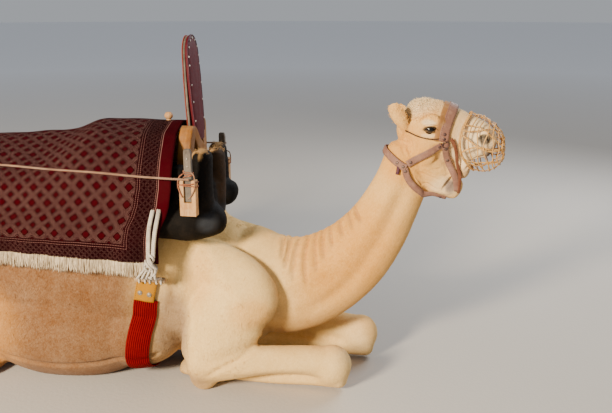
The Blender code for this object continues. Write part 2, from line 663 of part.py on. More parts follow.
def wood(flesh, cushions):
    made = [
        arch("front_yoke", -0.046, YOKE_FRONT, (0.029, 0.028), "yellow_wood", 0.060),
        seat_board("seat_board_front", (-0.130, -0.455), SEAT_FRONT),
        seat_board("seat_board_rear", (-0.975, -1.085), SEAT_REAR),
        arch("rear_yoke", -1.190, YOKE_REAR, (0.026, 0.026), "yellow_wood"),
    ]
    made.append(paddle("front_paddle", (-0.050, 0, 1.016), 0.450, 0.072, 0.048, 0.0225))
    made.append(paddle("rear_paddle", (-1.190, 0, 0.977), 0.345, 0.072, 0.28, 0.0165))
    cut_clear(made[4], made[0], 0.002)
    cut_clear(made[5], made[3], GAP)
    for side, sign in each_side():
        back, lower = (LEFT_PAD_BACK, LEFT_PAD_LOW) if sign > 0 else (0.0, 0.0)
        x, z = POST[0] - back, POST[2] - lower
        post = rounded_box("post_" + side, (0.030, 0.018, 0.208), 0.003, "grey_wood",
                           Matrix.Translation((x, sign * POST[1], z)))
        block = fork("block_" + side, (x, sign * (POST[1] + 0.004), z - 0.087), sign, 0.015 + 2 * GAP, -0.018)
        made += [post, block]
        cut_clear(cushions[side == "left"], post, GAP)
        cut_clear(cushions[side == "left"], block, GAP)
    for obj in made[:4]:
        for pad in cushions:
            cut_clear(obj, pad, GAP)
    return made


class Drape:
    """The taut skin over everything below it, section by section along the camel."""

    def __init__(self, under, low_x, high_x, edge_z, count=10):
        tree = tree_of(*under)
        self.xs = np.linspace(low_x, high_x, 45)
        self.count = count
        spots = []
        for x in self.xs:
            found = []
            for y in np.linspace(-0.40, 0.40, 41):
                hit = tree.ray_cast(Vector((x, y, 2)), Vector((0, 0, -1)))[0]
                if hit and hit.z > edge_z - 0.02:
                    found.append((y, hit.z))
            for z in np.arange(edge_z - 0.03, 1.15, 0.03):
                for sign in (-1, 1):
                    hit = tree.ray_cast(Vector((x, sign, z)), Vector((0, -sign, 0)))[0]
                    if hit:
                        found.append((hit.y, z))
            spots.append([(max(abs(y), 0.0), z) for y, z in found])
        self.half = []
        for i in range(len(self.xs)):
            near = sum(spots[max(0, i - 2):i + 3], [])
            self.half.append(self.section(near, edge_z))
        soft = np.array(self.half)
        for _ in range(14):
            wide = np.concatenate([soft[:1], soft, soft[-1:]])
            soft = np.maximum(soft, (wide[:-2] + wide[1:-1] + wide[2:]) / 3)
        self.half = soft

    def section(self, spots, edge_z):
        """The right half of the hull as evenly spaced points from the ridge to the lower edge."""
        top = max(z for _, z in spots)
        wide = max(y for y, z in spots)
        spots = sorted({p for p in spots if p[0] > 0.004} | {(0.0, top)}, key=lambda p: (p[0], -p[1]))
        hull = []
        for p in spots:
            while len(hull) > 1 and ((hull[-1][0] - hull[-2][0]) * (p[1] - hull[-2][1])
                                     - (hull[-1][1] - hull[-2][1]) * (p[0] - hull[-2][0])) >= 0:
                hull.pop()
            hull.append(p)
        hull = [p for p in hull if p[1] > edge_z] + [(max(wide, hull[-1][0]), edge_z - 0.03)]
        line = np.array(hull)
        run = np.concatenate([[0], np.cumsum(np.linalg.norm(np.diff(line, axis=0), axis=1))])
        cut = run[-1]
        for a, b, ra, rb in zip(line, line[1:], run, run[1:]):
            if b[1] < edge_z:
                cut = ra + (rb - ra) * (a[1] - edge_z) / max(a[1] - b[1], 1e-9)
                break
        at = np.linspace(0, cut, self.count)
        return np.stack([np.interp(at, run, line[:, 0]), np.interp(at, run, line[:, 1])], axis=1)

    def at(self, x, k):
        """y and z of point k, from 0 at the ridge to count - 1 at the lower edge, in the section at x."""
        return (float(np.interp(x, self.xs, self.half[:, k, 0])),
                float(np.interp(x, self.xs, self.half[:, k, 1])))


def rug(under):
    """The rug over the saddle: a thin draped body whose front edge runs back towards its lower corners."""
    drape = Drape(under, RUG_REAR - 0.02, -0.05, RUG_EDGE_Z)
    rows, last = 12, drape.count - 1
    grid = np.zeros((rows, 2 * last + 1, 3))
    for i in range(rows):
        for k in range(-last, last + 1):
            share = abs(k) / last
            front = float(np.interp(share, *zip(*RUG_FRONT))) - LEFT_PAD_BACK * min(1, 2 * share) * (k > 0)
            x = front + (RUG_REAR - front) * i / (rows - 1)
            y, z = drape.at(x, abs(k))
            grid[i, k + last] = (x, math.copysign(y, k), z)
    along = np.gradient(grid, axis=0)
    across = np.gradient(grid, axis=1)
    normal = np.cross(along, across)
    normal /= np.linalg.norm(normal, axis=2)[..., None]
    if normal[rows // 2, last, 2] < 0:
        normal = -normal
    inner = grid + normal * 0.013
    outer = inner + normal * RUG_THICK
    rings = [[Vector(p) for p in inner[i]] + [Vector(p) for p in outer[i][::-1]] for i in range(rows)]
    cloth = ring_solid("rug", rings, "rug")
    return cloth, inner, outer


def fringes(inner, outer, flesh):
    made = []
    tree = tree_of(flesh)
    for side, k in (("right", 0), ("left", -1)):
        rings = []
        for i in range(0, len(inner), 2):
            low_in, low_out = Vector(inner[i][k]), Vector(outer[i][k])
            out = Vector((0, math.copysign(1, low_out.y), 0))
            middle = (low_in + low_out) / 2
            top_z = min(low_in.z, low_out.z) - 0.0012
            ring = []
            for drop, swing, half in ((0, 0, 0.5), (0.5, 0.006, 0.5), (1, 0.008, 0.35)):
                centre = Vector((middle.x, middle.y, top_z - FRINGE_LENGTH * drop)) + out * swing
                hit = tree.ray_cast(Vector((centre.x, out.y, centre.z - 0.012)), -out)[0]
                centre.y = out.y * max(abs(centre.y), abs(hit.y) + FRINGE_THICK + 0.002)
                ring.append((centre - out * FRINGE_THICK * half, centre + out * FRINGE_THICK * half))
            rings.append([a for a, _ in ring] + [b for _, b in ring[::-1]])
        made.append(ring_solid("fringe_" + side, rings, "fringe"))
    return made


def girth(flesh, others):
    """The red girth under the chest, its tabs, toggles and cords."""
    tree = tree_of(flesh)
    path = []
    for z in (0.392, 0.32, 0.24, 0.16, 0.10):
        x = -0.197 - 0.058 * (0.40 - z) / 0.30
        hit = tree.ray_cast(Vector((x, -1, z)), Vector((0, 1, 0)))[0]
        path.append((x, hit.y, z))
    for y in (-0.20, -0.10, 0.0):
        hit = tree.ray_cast(Vector((-0.258, y, -1)), Vector((0, 0, 1)))[0]
        path.append((-0.258, y, hit.z))
    strap("girth", path + flip(path[:-1])[::-1], 0.098, "girth", tree, thick=0.006, steps=2, gap=0.009)
    for side, sign in each_side():
        tab = [(-0.180, sign * 0.36, 0.474), (-0.187, sign * 0.36, 0.44), (-0.194, sign * 0.36, 0.410)]
        strap("tab_" + side, tab, 0.086, "yellow_leather", tree, thick=0.006, steps=2, gap=0.004)
        wide = [abs(tree.ray_cast(Vector((x, sign, z)), Vector((0, -sign, 0)))[0].y)
                for x in (-0.228, -0.165, -0.102) for z in (0.485, 0.510)]
        y = sign * (max(wide) + 0.019)
        rod("toggle_" + side, [(-0.228, y, 0.496, 0.012, 0.012), (-0.165, y, 0.498, 0.013, 0.013),
                               (-0.102, y, 0.498, 0.012, 0.012)], "wood", steps=1, sides=8, cap=0.25)
        bm = bmesh.new()
        tube(bm, [(-0.082, sign * 0.390, 0.795, 0.010, 0.008), (-0.105, sign * 0.402, 0.70, 0.010, 0.009),
                  (-0.115, sign * 0.402, 0.62, 0.018, 0.016)], sides=10, steps=3)
        tube(bm, [(-0.118, sign * 0.392, 0.795, 0.010, 0.008), (-0.130, sign * 0.402, 0.70, 0.010, 0.009),
                  (-0.135, sign * 0.402, 0.62, 0.018, 0.016)], sides=10, steps=3)
        tube(bm, [(-0.124, sign * 0.402, 0.640, 0.028, 0.022), (-0.128, sign * 0.400, 0.595, 0.034, 0.038),
                  (-0.136, sign * 0.388, 0.560, 0.028, 0.038), (-0.142, sign * 0.370, 0.536, 0.012, 0.040)],
             sides=12, steps=3, side=(0, 1, 0))
        cords = fused("cords_" + side, bm, 0.006, 180, "cord", rounds=2)
        for other in others:
            cut_clear(cords, other, 0.0008)


def side_ropes(inner, outer):
    """A rope along each flank over the rug, pulled taut from the front post to the rear yoke."""
    rows, across = outer.shape[:2]
    radius = 0.0045
    for side, sign in each_side():
        spots = []
        for i in range(rows):
            order = slice(None) if sign < 0 else slice(None, None, -1)
            half, under = outer[i][order][:across // 2 + 1], inner[i][order][:across // 2 + 1]
            raised = half + (half - under) / RUG_THICK * (radius + 0.0035)
            z = 0.938
            spots.append([float(np.interp(z, raised[:, 2], raised[:, k])) for k in (0, 1)] + [z])
        front_x = POST[0] + 0.012 - (LEFT_PAD_BACK if sign > 0 else 0.0)
        ends = [[front_x, sign * 0.391, 0.942], [front_x - 0.070, sign * 0.388, 0.942]]
        spots = ends + spots + [[-1.168, sign * 0.262, 0.936]]
        taut = []
        for p in spots:
            while len(taut) > 2 and (abs(taut[-1][1]) - abs(taut[-2][1])) * (taut[-2][0] - p[0]) < (
                    abs(p[1]) - abs(taut[-2][1])) * (taut[-2][0] - taut[-1][0]):
                taut.pop()
            taut.append(p)
        curve = bpy.data.curves.new("side_rope_" + side, "CURVE")
        curve.dimensions = "3D"
        curve.bevel_depth = radius
        curve.bevel_resolution = 1
        curve.use_fill_caps = True
        run = curve.splines.new("POLY")
        run.points.add(len(taut) - 1)
        for spot, p in zip(run.points, taut):
            spot.co = (*p, 1)
        obj = bpy.data.objects.new("side_rope_" + side, curve)
        bpy.context.scene.collection.objects.link(obj)
        curve.materials.append(material("cord"))


def main():
    for obj in list(bpy.data.objects):
        bpy.data.objects.remove(obj)
    parts = parted_flesh()
    whole = new_object("whole", bpy.data.meshes["flesh_whole"])
    ears_and_eyes(parts)
    halter(parts)
    basket()
    cushions = pads(whole)
    timber = wood(whole, cushions)
    cloth, inner, outer = rug([whole] + cushions + timber[1:3])
    fringes(inner, outer, whole)
    girth(whole, [whole] + cushions + [obj for obj in bpy.data.objects if obj.name.startswith("block")])
    side_ropes(inner, outer)
    remove(whole)
    for obj in bpy.data.objects:
        obj.data.transform(Matrix.Translation(ORIGIN_SHIFT))


main()
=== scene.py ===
"""A couched dromedary in riding gear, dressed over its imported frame: metres, +X towards the head, +Z up.

One skin stands for all the flesh. It is fused from the same tubes and lumps as the solids, sculpted with
strokes, and drawn in by the depth of the coat. Tufts lie over it, and everything worn is laid on it.
"""
import json
import math

import bmesh
import bpy
import numpy as np
from numpy.linalg import norm
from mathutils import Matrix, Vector
from mathutils.bvhtree import BVHTree

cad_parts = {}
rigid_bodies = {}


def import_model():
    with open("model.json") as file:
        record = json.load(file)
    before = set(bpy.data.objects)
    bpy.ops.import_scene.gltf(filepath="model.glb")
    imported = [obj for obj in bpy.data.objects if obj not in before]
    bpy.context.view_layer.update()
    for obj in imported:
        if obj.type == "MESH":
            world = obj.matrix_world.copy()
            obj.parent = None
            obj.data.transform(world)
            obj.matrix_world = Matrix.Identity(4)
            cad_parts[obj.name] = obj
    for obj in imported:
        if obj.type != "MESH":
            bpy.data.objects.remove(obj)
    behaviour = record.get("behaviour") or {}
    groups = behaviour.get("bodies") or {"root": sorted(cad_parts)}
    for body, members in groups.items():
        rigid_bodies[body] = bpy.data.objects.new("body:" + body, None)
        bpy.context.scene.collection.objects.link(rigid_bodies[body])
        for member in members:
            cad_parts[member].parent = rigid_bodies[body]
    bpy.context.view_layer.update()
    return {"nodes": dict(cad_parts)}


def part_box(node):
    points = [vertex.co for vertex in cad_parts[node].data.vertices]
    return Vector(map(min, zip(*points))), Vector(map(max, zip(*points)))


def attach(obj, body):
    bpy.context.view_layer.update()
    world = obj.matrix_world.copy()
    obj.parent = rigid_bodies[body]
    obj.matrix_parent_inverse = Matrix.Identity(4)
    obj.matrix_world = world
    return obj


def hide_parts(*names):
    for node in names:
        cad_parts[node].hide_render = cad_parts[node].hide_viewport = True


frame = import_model()
NODES = frame["nodes"]
FLESH_NODES = ("trunk", "neck", "head", "tail", "ear", "foreleg", "hindleg")
SIDES = (("right", -1), ("left", 1))
rng = np.random.default_rng(7)

# ---- camera and room ----
CAMERA_AT = (1.153, -3.088, 1.6)
CAMERA_TURN = math.radians(11.0)     # to the left of straight across the camel
CAMERA_DOWN = math.radians(15.07)
LENS = 45.0                          # for a 36 mm sensor

# ---- the flesh, as rows of x, y, z, half width and half depth, for one side where there are two ----
SHIFT = np.array([.131, 0.0, 0.0])
KNEE_AHEAD = .075                   # the left foreleg lies this far ahead of the right one
RUNS = {
    "trunk": [(.25, 0, .405, .16, .205), (.14, 0, .385, .205, .29), (0.0, 0, .385, .24, .335),
              (-.2, 0, .43, .3, .395), (-.45, 0, .445, .345, .43), (-.72, 0, .45, .35, .43),
              (-.97, 0, .475, .305, .385), (-1.16, 0, .51, .24, .285), (-1.27, 0, .535, .17, .19)],
    "neck": [(.16, 0, .415, .175, .245), (.27, 0, .396, .158, .232), (.36, 0, .402, .142, .221),
             (.45, 0, .428, .126, .204), (.542, 0, .479, .112, .184), (.635, 0, .558, .101, .162),
             (.717, 0, .664, .093, .139), (.777, 0, .775, .088, .121), (.825, 0, .888, .084, .11),
             (.854, 0, 1.0, .078, .1)],
    "cranium": [(.838, 0, 1.105, .064, .075), (.882, 0, 1.103, .08, .11), (.94, 0, 1.103, .088, .117),
                (1.0, 0, 1.085, .077, .113), (1.055, 0, 1.07, .06, .106), (1.11, 0, 1.062, .056, .089),
                (1.143, 0, 1.051, .055, .074), (1.158, 0, 1.044, .049, .06)],
    "jaw": [(.862, 0, 1.01, .072, .088), (.918, 0, .955, .068, .084), (.968, 0, .905, .057, .075),
            (1.008, 0, .876, .047, .058), (1.042, 0, .86, .04, .047)],
    "tail": [(-1.27, 0, .66, .06, .05), (-1.375, .01, .6, .04, .032), (-1.43, .02, .49, .028, .025),
             (-1.448, .028, .38, .026, .024), (-1.455, .032, .28, .03, .026),
             (-1.458, .036, .17, .024, .02), (-1.46, .04, .09, .012, .012)],
}
SIDE_RUNS = {
    "shoulder": [(-.05, .14, .58, .08, .08), (.05, .163, .525, .09, .11),
                 (.145, .183, .465, .095, .135), (.203, .192, .4, .095, .14),
                 (.19, .205, .345, .095, .13)],
    "upper_arm": [(.2, .205, .4, .085, .125), (.145, .22, .34, .095, .165),
                  (.085, .238, .24, .095, .155), (.045, .25, .14, .085, .125)],
    "thigh": [(-1.15, .12, .66, .09, .15), (-1.11, .19, .53, .12, .205), (-1.06, .25, .39, .12, .195),
              (-1.015, .285, .27, .105, .145)],
    "gaskin": [(-1.02, .29, .225, .095, .12), (-1.16, .285, .175, .078, .088),
               (-1.32, .27, .135, .055, .062), (-1.405, .262, .1, .055, .066)],
    "hind_cannon": [(-1.42, .262, .068, .05, .055), (-1.31, .268, .046, .042, .041),
                    (-1.16, .28, .042, .038, .037), (-1.07, .288, .05, .048, .046)],
    "hind_foot": [(-1.08, .29, .05, .055, .045), (-1.02, .3, .048, .078, .046),
                  (-.96, .31, .038, .08, .036), (-.92, .315, .032, .07, .028)],
}
FORELEG_RUNS = {
    "forearm": [(.014, .255, .115, .088, .105), (.16, .25, .13, .078, .078),
                (.33, .222, .138, .062, .063), (.49, .19, .134, .064, .066),
                (.57, .175, .115, .074, .084)],
    "fore_cannon": [(.6, .165, .06, .055, .052), (.48, .165, .043, .042, .038),
                    (.3, .175, .04, .036, .036), (.16, .172, .046, .045, .044)],
    "fore_foot": [(.15, .17, .048, .05, .044), (.06, .158, .05, .07, .046),
                  (-.04, .15, .044, .076, .04), (-.09, .148, .04, .066, .032)],
}
MIDDLE_LUMPS = [((-.7, 0, .83), (.3, .17, .198)), ((.03, 0, .075), (.13, .11, .1)),
                ((.902, 0, 1.15), (.08, .062, .076)), ((1.03, 0, .938), (.036, .047, .046)),
                ((1.072, 0, .955), (.028, .046, .052))]
SIDE_LUMPS = [((.938, .064, 1.146), (.046, .032, .026)), ((.915, .06, 1.035), (.052, .026, .08)),
              ((1.14, .036, 1.085), (.034, .023, .03)), ((-1.15, .14, .69), (.11, .08, .09)),
              ((-.31, .15, .212), (.23, .187, .18)), ((-.64, .145, .205), (.45, .245, .25))]
FORELEG_LUMPS = [((.568, .172, .113), (.085, .077, .091)), ((.03, .258, .06), (.068, .056, .07))]
EAR_ROOT, EAR_TIP = np.array([.83, .064, 1.112]), np.array([.782, .1, 1.214])
LEFT_EAR_DROP = .032
LENS_MIDDLE = np.array([.96, 0.0, 1.06])   # the head is fused through a lens that enlarges it
LENS_REACH, LENS_FADE, LENS_POWER = .25, .5, 3.6
SKIN_TRIANGLES = 190000
CELL = .0125
COAT_DEPTH = .003


# ---- shapes as whole arrays ----
def unit(v):
    """Vectors over their own lengths."""
    return v / np.maximum(norm(v, axis=-1, keepdims=True), 1e-12)


def eased(x):
    """A share from 0 to 1 that starts and ends level: x^2 (3 - 2x)."""
    return x * x * (3 - 2 * x)


def on_side(points, sign):
    """Points given beside the left of the camel, on the side of that sign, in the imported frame."""
    return np.array(points) * [1, sign, 1] + SHIFT


def folded_over(points):
    """Points as they lie beside the left of the camel, in its own frame."""
    p = points - SHIFT
    p[:, 1] = np.abs(p[:, 1])
    return p


def way_along(path):
    """How far along its path each point lies."""
    return np.concatenate([[0], np.cumsum(norm(np.diff(path, axis=0), axis=1))])


def read_at(at, run, rows):
    """Rows of numbers known at each run, read at other places between them."""
    return np.stack([np.interp(at, run, column) for column in rows.T], axis=1)


def smooth_rows(rows, steps):
    """Rows of numbers carried through a Catmull-Rom curve, with steps points to each span."""
    rows = np.array(rows, float)
    ends = np.vstack([2 * rows[0] - rows[1], rows, 2 * rows[-1] - rows[-2]])
    a, b, c, d = (ends[i:len(rows) - 1 + i, None] for i in range(4))
    t = (np.arange(steps) / steps)[None, :, None]
    spans = 0.5 * (2 * b + (c - a) * t + (2 * a - 5 * b + 4 * c - d) * t ** 2
                   + (3 * b - a - 3 * c + d) * t ** 3)
    return np.vstack([spans.reshape(-1, rows.shape[1]), rows[-1:]])


def frames_along(path, side):
    """Three unit vectors at each point of a path: ahead, across (nearest to side) and square to both."""
    ahead = unit(np.gradient(path, axis=0))
    side = np.broadcast_to(np.array(side, float), path.shape)
    across = unit(side - ahead * np.sum(side * ahead, axis=1, keepdims=True))
    return ahead, across, np.cross(ahead, across)


def carried(path, side, outline, wide, deep, twist=0.0):
    """A profile carried along a path: every point is the middle + across * a * wide + square * b * deep,
    where (a, b) runs round the outline, turned by twist radians from end to end."""
    _, across, square = frames_along(path, side)
    turn = np.linspace(0, 1, len(path))[:, None] * twist
    a, b = np.array(outline, float).T
    a, b = a * np.cos(turn) - b * np.sin(turn), a * np.sin(turn) + b * np.cos(turn)
    wide = np.broadcast_to(wide, len(path))[:, None, None]
    deep = np.broadcast_to(deep, len(path))[:, None, None]
    return path[:, None] + across[:, None] * a[..., None] * wide + square[:, None] * b[..., None] * deep


def round_outline(count, power=2.0):
    """A superellipse of unit radii: 2 is a circle, and more is squarer."""
    angle = np.arange(count) * 2 * math.pi / count
    cos, sin = np.cos(angle), np.sin(angle)
    return np.stack([np.sign(cos) * np.abs(cos) ** (2 / power), np.sign(sin) * np.abs(sin) ** (2 / power)],
                    axis=1)


def limb(rows, sides=40, steps=6, side=(0, 1, 0), cap=0.7):
    """A tube grid along rows of x, y, z, half width, half depth, with rings that shrink to domed ends:
    an end ring at angle a lies cap * sin a * radius beyond the last row and is cos a times as wide."""
    run = smooth_rows(rows, steps)
    ahead = unit(np.gradient(run[:, :3], axis=0))
    rise = np.radians([88, 70, 50, 28])
    grow = np.minimum(run[:, 3], run[:, 4])
    first = run[0, :3] - ahead[0] * (cap * grow[0] * np.sin(rise))[:, None]
    last = run[-1, :3] + ahead[-1] * (cap * grow[-1] * np.sin(rise[::-1]))[:, None]
    path = np.vstack([first, run[:, :3], last])
    shrink = np.concatenate([np.cos(rise), np.ones(len(run)), np.cos(rise[::-1])])
    index = np.concatenate([np.zeros(4, int), np.arange(len(run)), np.full(4, len(run) - 1)])
    across = unit(np.array(side, float) - ahead[index] * (ahead[index] @ np.array(side, float))[:, None])
    square = np.cross(ahead[index], across)
    a, b = round_outline(sides).T
    wide, deep = run[index, 3] * shrink, run[index, 4] * shrink
    return (path[:, None] + across[:, None] * (a * wide[:, None])[..., None]
            + square[:, None] * (b * deep[:, None])[..., None])


def ellipsoid(centre, radii, around=32, up=18):
    """Centre + radii * (cos u cos v, sin u cos v, sin v)."""
    u = np.arange(around) * 2 * math.pi / around
    v = np.linspace(-math.pi / 2 * 0.985, math.pi / 2 * 0.985, up)[:, None]
    ball = np.stack([np.cos(u) * np.cos(v), np.sin(u) * np.cos(v), np.broadcast_to(np.sin(v), (up, around))],
                    axis=-1)
    return np.array(centre) + ball * np.array(radii)


def grid_faces(rows, columns, wrap, ends, base=0):
    """Quads over a grid of points, round the columns if wrap, with one face over each open end."""
    i, j = np.meshgrid(np.arange(rows - 1), np.arange(columns if wrap else columns - 1), indexing="ij")
    n = (j + 1) % columns
    quads = np.stack([i * columns + j, i * columns + n, (i + 1) * columns + n, (i + 1) * columns + j], axis=-1)
    faces = (quads.reshape(-1, 4) + base).tolist()
    if ends:
        faces += [[base + k for k in range(columns)][::-1],
                  [base + (rows - 1) * columns + k for k in range(columns)]]
    return faces


def mesh_object(name, points, faces, paint=None, smooth=True):
    """A mesh of points and faces in the scene, smooth unless told otherwise."""
    mesh = bpy.data.meshes.new(name)
    mesh.from_pydata(np.asarray(points).reshape(-1, 3).tolist(), [], faces)
    mesh.polygons.foreach_set("use_smooth", [smooth] * len(mesh.polygons))
    obj = bpy.data.objects.new(name, mesh)
    bpy.context.scene.collection.objects.link(obj)
    if paint:
        mesh.materials.append(paint)
    return obj


def grids_object(name, grids, paint=None, ends=True, smooth=True):
    """One mesh from several grids of points, each closed round its columns."""
    points, faces, base = [], [], 0
    for grid in grids:
        rows, columns = grid.shape[:2]
        faces += grid_faces(rows, columns, True, ends, base)
        points.append(grid.reshape(-1, 3))
        base += rows * columns
    return mesh_object(name, np.vstack(points), faces, paint, smooth)


def applied(obj):
    """The object's mesh as its modifiers leave it."""
    graph = bpy.context.evaluated_depsgraph_get()
    mesh = bpy.data.meshes.new_from_object(obj.evaluated_get(graph))
    obj.modifiers.clear()
    obj.data = mesh
    return obj


def shaded_smooth(obj):
    """Shades every face of a mesh smooth."""
    obj.data.polygons.foreach_set("use_smooth", [True] * len(obj.data.polygons))
    return obj


def evened(obj, cell, rounds):
    """Closed grids fused into one body of even squares, and relaxed a few rounds."""
    fuse = obj.modifiers.new("fuse", "REMESH")
    fuse.mode, fuse.voxel_size = "VOXEL", cell
    even = obj.modifiers.new("even", "SMOOTH")
    even.factor, even.iterations = 0.5, rounds
    return applied(obj)


def outward(obj):
    """Turns all faces of a closed piece outwards."""
    bm = bmesh.new()
    bm.from_mesh(obj.data)
    bmesh.ops.recalc_face_normals(bm, faces=bm.faces)
    bm.to_mesh(obj.data)
    bm.free()
    return obj


def read_out(items, key, size, kind=float):
    """One property of all items of a mesh, as rows of that size."""
    out = np.empty(len(items) * size, kind)
    items.foreach_get(key, out)
    return out.reshape(-1, size)


def points_of(obj):
    """Where the points of a mesh lie."""
    return read_out(obj.data.vertices, "co", 3)


def normals_of(obj):
    """The unit normals at the points of a mesh."""
    return read_out(obj.data.vertex_normals, "vector", 3)


def laid_flat(obj, name, uv):
    """Gives a mesh a UV map from one place to each of its points."""
    index = read_out(obj.data.loops, "vertex_index", 1, int)[:, 0]
    obj.data.uv_layers.new(name=name).data.foreach_set("uv", uv.reshape(-1, 2)[index].ravel())


def set_points(obj, points):
    """Moves the points of a mesh."""
    obj.data.vertices.foreach_set("co", np.ascontiguousarray(points, dtype=np.float32).ravel())
    obj.data.update()


def mirrored(points, ahead=0.0):
    """The same points on the right side (y negative) and on the left one, that one moved ahead."""
    points = np.array(points, float)
    right, left = points.copy(), points.copy()
    right[..., 1] *= -1
    left[..., 0] += ahead
    return right, left


def dressed(obj, slot, *nodes):
    """A finished piece: it rides on the one body and stands for the CAD nodes named. The slot is not used."""
    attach(obj, "root")
    if nodes:
        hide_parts(*nodes)
    return obj


def piece(name, grids, paint, slot, *nodes, smooth=True):
    """A finished piece made of closed grids of points."""
    return dressed(outward(grids_object(name, grids, paint, smooth=smooth)), slot, *nodes)


# ---- flesh ----
def through_lens(points, back=False):
    """Moves points out from the lens middle by a smooth rising function of their distance, or back again:
    LENS_POWER times as far near the middle, and one to one in step far away."""
    r = np.linspace(0, 4, 2000)
    slope = 1 + (LENS_POWER - 1) * 0.5 * (1 + np.cos(np.pi * np.clip((r - LENS_REACH) / LENS_FADE, 0, 1)))
    out = np.concatenate([[0], np.cumsum((slope[1:] + slope[:-1]) / 2 * np.diff(r))])
    away = points - LENS_MIDDLE
    distance = norm(away, axis=1)
    new = np.interp(distance, out, r) if back else np.interp(distance, r, out)
    return LENS_MIDDLE + away * (new / np.maximum(distance, 1e-9))[:, None]


def ear_grid(sign):
    """A cupped leaf: half width w(t) from root to tip, its middle line sunk behind the rims by cup(t) * (1 -
    s^2), and the same leaf once more 6 to 9 mm further forward for the inner face."""
    root = EAR_ROOT * [1, sign, 1]
    tip = EAR_TIP * [1, sign, 1] - [0, 0, LEFT_EAR_DROP if sign > 0 else 0]
    t = np.linspace(-0.15, 1, 22)
    wide = np.interp(t, [-0.15, 0, 0.2, 0.45, 0.7, 0.88, 0.96, 1],
                     [0.017, 0.021, 0.029, 0.0355, 0.034, 0.027, 0.018, 0.006])
    cup = np.interp(t, [-0.15, 0, 0.3, 0.7, 1], [0.01, 0.013, 0.016, 0.011, 0.002])
    along = unit(tip - root)
    lie = np.array([0.88, sign * 0.3, 0.38])
    across = unit(lie - along * (along @ lie))
    front = unit(np.cross(along, across) * sign)
    if front[0] < 0:
        front = -front
    s = np.linspace(-1, 1, 13)
    middle = root + (tip - root) * t[:, None]

    def leaf(forward):
        return (middle[:, None] + across * (wide[:, None] * s)[..., None]
                + front * (0.006 + forward[:, None] - cup[:, None] * (1 - s ** 2))[..., None])

    thick = np.interp(t, [-0.15, 0.3, 1], [0.01, 0.008, 0.005])
    back, face = leaf(-thick / 2), leaf(thick / 2)
    return np.concatenate([back, face[:, ::-1]], axis=1)


def fused_flesh():
    """All the tubes and lumps as one skin of even squares, finer towards the head."""
    grids = [limb(rows) for rows in RUNS.values()]
    grids += [limb(run) for rows in SIDE_RUNS.values() for run in mirrored(rows)]
    grids += [limb(run) for rows in FORELEG_RUNS.values() for run in mirrored(rows, KNEE_AHEAD)]
    grids += [ellipsoid(*row) for row in MIDDLE_LUMPS]
    for lumps, ahead in ((SIDE_LUMPS, 0.0), (FORELEG_LUMPS, KNEE_AHEAD)):
        for centre, radii in lumps:
            grids += [ellipsoid(c, radii) for c in mirrored(centre, ahead)]
    grids += [ear_grid(-1), ear_grid(1)]
    flesh = outward(grids_object("skin", grids))
    set_points(flesh, through_lens(points_of(flesh)))
    evened(flesh, CELL, 7)
    set_points(flesh, through_lens(points_of(flesh), back=True) + SHIFT)
    return shaded_smooth(flesh)


def drawn_in(flesh):
    """The skin lies inside the flesh by the depth of the coat, and flat on the floor where it rests."""
    points = points_of(flesh) - normals_of(flesh) * COAT_DEPTH
    points[:, 2] = np.maximum(points[:, 2], 0.0)
    set_points(flesh, points)
    return flesh


# ---- sculpting, as reach, height (below 0 is a groove) and a row of x, y, z on the surface ----
FOLDS = {   # grooves with raised lips
    "mouth": (.0075, -.013, [(1.034, .04, .915), (1.019, .052, .9), (1.005, .055, .881), (.994, .056, .862)]),
    "lip_fold_1": (.006, -.0042, [(.941, .068, .949), (.967, .066, .948), (.991, .062, .958)]),
    "lip_fold_2": (.0065, -.005, [(.887, .072, .942), (.913, .07, .926), (.943, .068, .914),
                                  (.977, .062, .902)]),
    "lip_fold_3": (.0065, -.0052, [(.874, .07, .924), (.901, .07, .903), (.927, .066, .877),
                                   (.962, .058, .857)]),
    "lip_fold_4": (.0055, -.004, [(.916, .07, .944), (.951, .067, .927), (.985, .06, .92),
                                  (1.014, .056, .926)]),
    "lip_fold_5": (.006, -.0045, [(.863, .07, .941), (.884, .07, .897), (.906, .066, .872), (.928, .06, .851)]),
    "cheek_fold_1": (.0085, -.005, [(.819, .08, 1.086), (.822, .082, 1.057), (.827, .082, 1.031),
                                    (.843, .08, 1.0)]),
    "cheek_fold_2": (.0075, -.0045, [(.839, .082, 1.074), (.846, .084, 1.049), (.855, .084, 1.023),
                                     (.862, .08, 1.0)]),
    "cheek_fold_3": (.006, -.0025, [(.887, .085, 1.067), (.886, .085, 1.042), (.88, .085, 1.015)]),
    "tear_line": (.006, -.0035, [(.958, .082, 1.108), (.972, .078, 1.092), (.99, .07, 1.07)]),
    "nostril": (.0058, -.012, [(1.122, .046, 1.076), (1.138, .048, 1.088), (1.152, .046, 1.084),
                               (1.16, .04, 1.068)]),
    "upper_lip": (.006, -.006, [(1.188, .012, 1.002), (1.16, .04, .99), (1.12, .052, .972),
                                (1.075, .048, .948)]),
    "muzzle_fold": (.006, -.003, [(1.085, .05, 1.035), (1.105, .052, 1.01), (1.115, .054, .985)]),
    "elbow": (.014, -.008, [(.07, .325, .095), (.12, .33, .125), (.19, .315, .165), (.25, .285, .205)]),
    "breast_line": (.016, -.009, [(.325, .1, .165), (.29, .17, .205), (.262, .23, .235)]),
    "flank_line": (.016, -.01, [(-.1, .33, .11), (-.3, .37, .085), (-.6, .385, .075), (-.85, .37, .09)]),
    "arm_line": (.022, -.007, [(-.06, .3, .56), (-.072, .32, .4), (-.066, .325, .25), (-.03, .325, .13)]),
    "stifle": (.02, -.008, [(-.9, .3, .42), (-.905, .33, .33), (-.93, .35, .22), (-.99, .36, .13)]),
    "hock": (.014, -.006, [(-1.38, .3, .12), (-1.33, .31, .1), (-1.27, .32, .095)]),
}
